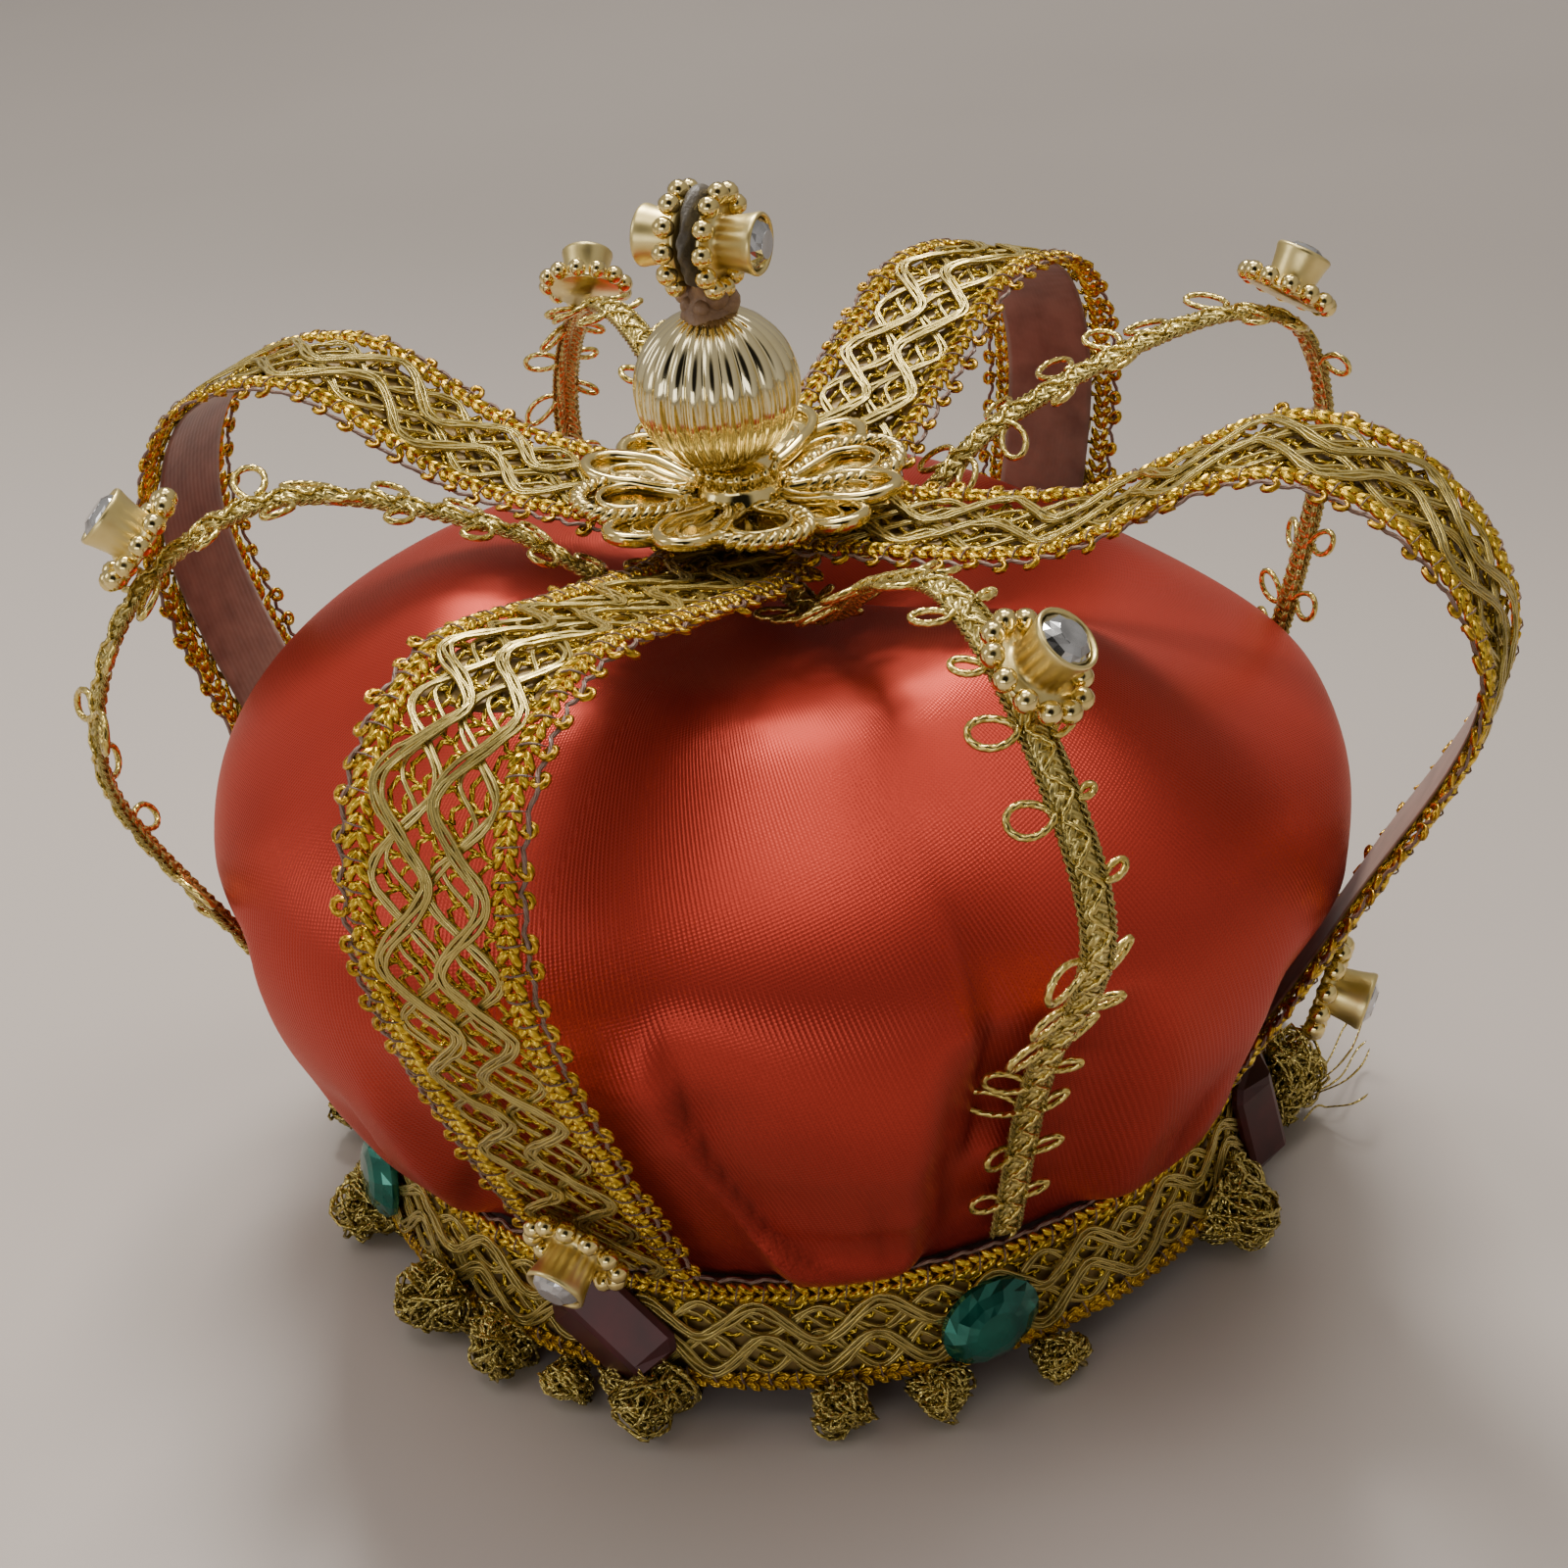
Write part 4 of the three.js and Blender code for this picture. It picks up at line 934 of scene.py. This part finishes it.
def make_tufts():
    """Looped metal thread: each thread tangles through a lumpy egg as sums of quick sines, with small rings on top."""
    bundle = Bundle()
    steps = 112
    t = np.linspace(0, 1, steps)[None]
    for azimuth, along, deep, tall in TUFTS:
        threads = int(4 + along * 0.8)
        tangle = np.zeros((threads, steps, 3))
        for k in range(3, 11):
            amount = chance.normal(0, 0.42, (threads, 1, 3))
            tangle += amount * np.sin(TAU * k * t + chance.uniform(0, TAU, (threads, 1)))[..., None]
        far = np.linalg.norm(tangle, axis=2, keepdims=True)
        tangle *= np.tanh(far * 0.9) / np.maximum(far, 1e-6)
        lumps = 1 + 0.2 * np.sin(3 * np.arctan2(tangle[..., 1], tangle[..., 0]) + azimuth)[..., None]
        curl = TAU * chance.uniform(14, 18, (threads, 1)) * t
        ring = np.stack([np.cos(curl), np.sin(curl), np.sin(curl + 1.0)], -1)
        ring = ring * chance.uniform(0.2, 0.5, (threads, 1, 1))
        local = tangle * lumps * [along / 2 - 0.4, deep / 2 - 0.4, tall / 2 - 0.3] + ring
        z = np.maximum(local[..., 2] + tall / 2, 0.22)
        out = local[..., 1] + 45.4
        out = np.where(z > 3.4, np.maximum(out, 44.8 + 0.3 * np.sin(curl)), out)
        path = around(azimuth - np.degrees(local[..., 0] / 46), out, z)
        add_tubes(bundle, path, np.broadcast_to([0.3, 0.4, 1.0], path.shape), 0.4, None, 3)
    strays(bundle)
    bundle.piece("thread_tufts", [TUFT_THREAD], "tuft_thread", *(f"tuft_{i + 1:02d}" for i in range(len(TUFTS))))


def strays(bundle):
    """A few loose kinked threads that stand out of the tuft at the right."""
    for k in range(5):
        t = np.linspace(0, 1, 26)
        bend = np.abs((t * 2 + 0.4 * k) % 2 - 1)
        azimuth = 98 + 2.2 * k + 6 * t + 2 * np.sin(5 * t + k)
        path = around(azimuth, 47 + (6 + 0.6 * k) * t + bend, 1.2 + (1 + 7 * (k % 3) / 2) * t + 1.5 * bend)
        add_tubes(bundle, path[None], np.broadcast_to([0.2, 0.3, 1.0], path[None].shape), 0.22, None, 4)


def make_clip():
    """The plain clip: its side outline carried across its width, the corners of the section rounded."""
    top = 11.95
    x = np.array([-25, -24.6, -18, -11, 2, 16, 20, 24.6, 25])
    low = np.array([top - 0.8, top - 1.3, top - 3.6, top - 6, top - 6, top - 6, top - 4.4, top - 2.5, top - 1.6])
    a = TAU * (np.arange(24) + 0.5) / 24
    cx, cz = (np.sign(f) * np.abs(f) ** 0.35 for f in (np.cos(a), np.sin(a)))
    tall, mid = (top - low) / 2, (top + low) / 2
    fill = np.array([0.55, 1, 1, 1, 1, 1, 1, 1, 0.55])
    across, up = 4.5 * fill[:, None] * cx, mid[:, None] + (tall * fill)[:, None] * cz
    grid = np.stack(np.broadcast_arrays(x[:, None], across, up), -1)
    bundle = Bundle()
    bundle.grids(grid[None])
    bundle.piece("plain_clip", [CLIP_STEEL], "clip_steel", "hair_clip")


# ---- floor, light and camera

def make_stage():
    mesh = bpy.data.meshes.new("floor")
    mesh.from_pydata([(-4, -4, 0), (4, -4, 0), (4, 6, 0), (-4, 6, 0)], [], [(0, 1, 2, 3)])
    look, w, shader = new_look("pale_table")
    wear = use_group(w, SURFACE_WEAR, Size=3.0)
    # Painted shade: the floor darkens from pale in front to grey towards the back.
    depth = {"Value": w.split(w.object_place())[1], "From Min": -0.03, "From Max": 0.28}
    far = w.add("ShaderNodeMapRange", depth, interpolation_type="SMOOTHSTEP").outputs[0]
    pale = w.mix(far, (0.47, 0.425, 0.395), (0.20, 0.18, 0.166))
    colour = w.mix(w.math("MULTIPLY", wear["Cloud"], 0.12), pale, (0.45, 0.42, 0.40))
    set_inputs(w, shader, Base_Color=colour, Roughness=0.4)
    mesh.materials.append(look)
    floor = bpy.data.objects.new("floor", mesh)
    bpy.context.scene.collection.objects.link(floor)


def add_light(name, at, aim, size, power, colour):
    light = bpy.data.lights.new(name, "AREA")
    light.shape, light.size, light.size_y = "RECTANGLE", *size
    light.energy, light.color = power, colour
    lamp = bpy.data.objects.new(name, light)
    away = unit(np.array(at, float) - np.array(aim, float))
    right = unit(np.cross([0, 0.01, 1.0], away))
    turn = np.eye(4)
    turn[:3, :3] = np.stack([right, np.cross(away, right), away], 1)
    turn[:3, 3] = at
    lamp.matrix_world = Matrix(turn.tolist())
    bpy.context.scene.collection.objects.link(lamp)


def make_light():
    add_light("ceiling", (0.0, 0.1, 1.1), (0, 0, 0.05), (0.9, 0.7), 2.0, (1.0, 0.93, 0.84))
    add_light("back_lamp", (-0.27, 0.50, 0.85), (0, 0, 0.05), (0.32, 0.22), 10.5, (1.0, 0.95, 0.88))
    add_light("right_lamp", (0.18, 0.40, 1.0), (0, 0, 0.05), (0.3, 0.3), 1.8, (1.0, 0.95, 0.88))
    add_light("left_fill", (-0.85, -0.4, 0.6), (0, 0, 0.04), (0.35, 0.5), 1.6, (1.0, 0.97, 0.95))
    add_light("top_lamp", (-0.12, -0.18, 0.95), (0, 0, 0.05), (0.3, 0.3), 1.0, (1.0, 0.95, 0.88))
    add_light("low_fill", (0.02, -0.80, 0.20), (0, 0, 0.02), (0.6, 0.2), 1.1, (1.0, 0.97, 0.95))
    world = bpy.data.worlds.new("room")
    world.use_nodes = True
    w = Wiring(world.node_tree)
    way = w.add("ShaderNodeTexCoord").outputs["Generated"]
    split = w.split(way)
    walls = w.mix(w.spread(split[1], -0.6, 0.6), (0.66, 0.615, 0.57), (0.40, 0.37, 0.34))
    shade = w.mix(w.spread(split[2], 0.05, 0.75), walls, (0.56, 0.52, 0.475))
    front = w.add("ShaderNodeVectorMath", {0: way, 1: (0.34, -0.74, 0.58)}, operation="DOT_PRODUCT").outputs["Value"]
    shade = w.mix(w.spread(front, 0.82, 0.94), shade, (0.015, 0.014, 0.013))
    world.node_tree.links.new(shade, world.node_tree.nodes["Background"].inputs[0])
    world.node_tree.nodes["Background"].inputs[1].default_value = 0.85
    bpy.context.scene.world = world


def make_camera():
    """The photograph's view: 25 degrees to the right of the front, 37 degrees up, leaning a little to the left."""
    turn, rise, roll, pan, tilt = np.radians([25, 37.093, 5.557, 0.738, 6.599])
    right = np.array([np.cos(turn), np.sin(turn), 0])
    back = np.array([np.cos(rise) * np.sin(turn), -np.cos(rise) * np.cos(turn), np.sin(rise)])
    axes = np.stack([right, -np.cross(back, right), -back])
    rolled = np.array([[np.cos(roll), np.sin(roll), 0], [-np.sin(roll), np.cos(roll), 0], [0, 0, 1]])
    panned = np.array([[np.cos(pan), 0, np.sin(pan)], [0, 1, 0], [-np.sin(pan), 0, np.cos(pan)]])
    tilted = np.array([[1, 0, 0], [0, np.cos(tilt), np.sin(tilt)], [0, -np.sin(tilt), np.cos(tilt)]])
    x, y, z = tilted @ panned @ rolled @ axes
    camera = bpy.data.cameras.new("camera")
    camera.lens, camera.sensor_width, camera.clip_start = 56.44, 36.0, 0.01
    holder = bpy.data.objects.new("camera", camera)
    matrix = np.eye(4)
    matrix[:3, :3] = np.stack([x, -y, -z], 1)
    matrix[:3, 3] = np.array([0, 0, 0.004]) + 0.24832 * back
    holder.matrix_world = Matrix(matrix.tolist())
    bpy.context.scene.collection.objects.link(holder)
    bpy.context.scene.camera = holder


make_camera()
make_light()
make_stage()
make_puff()
make_braids()
make_gimp()
make_settings()
make_band_stones()
make_flower()
make_ball()
make_finial_glue()
make_tufts()
make_clip()
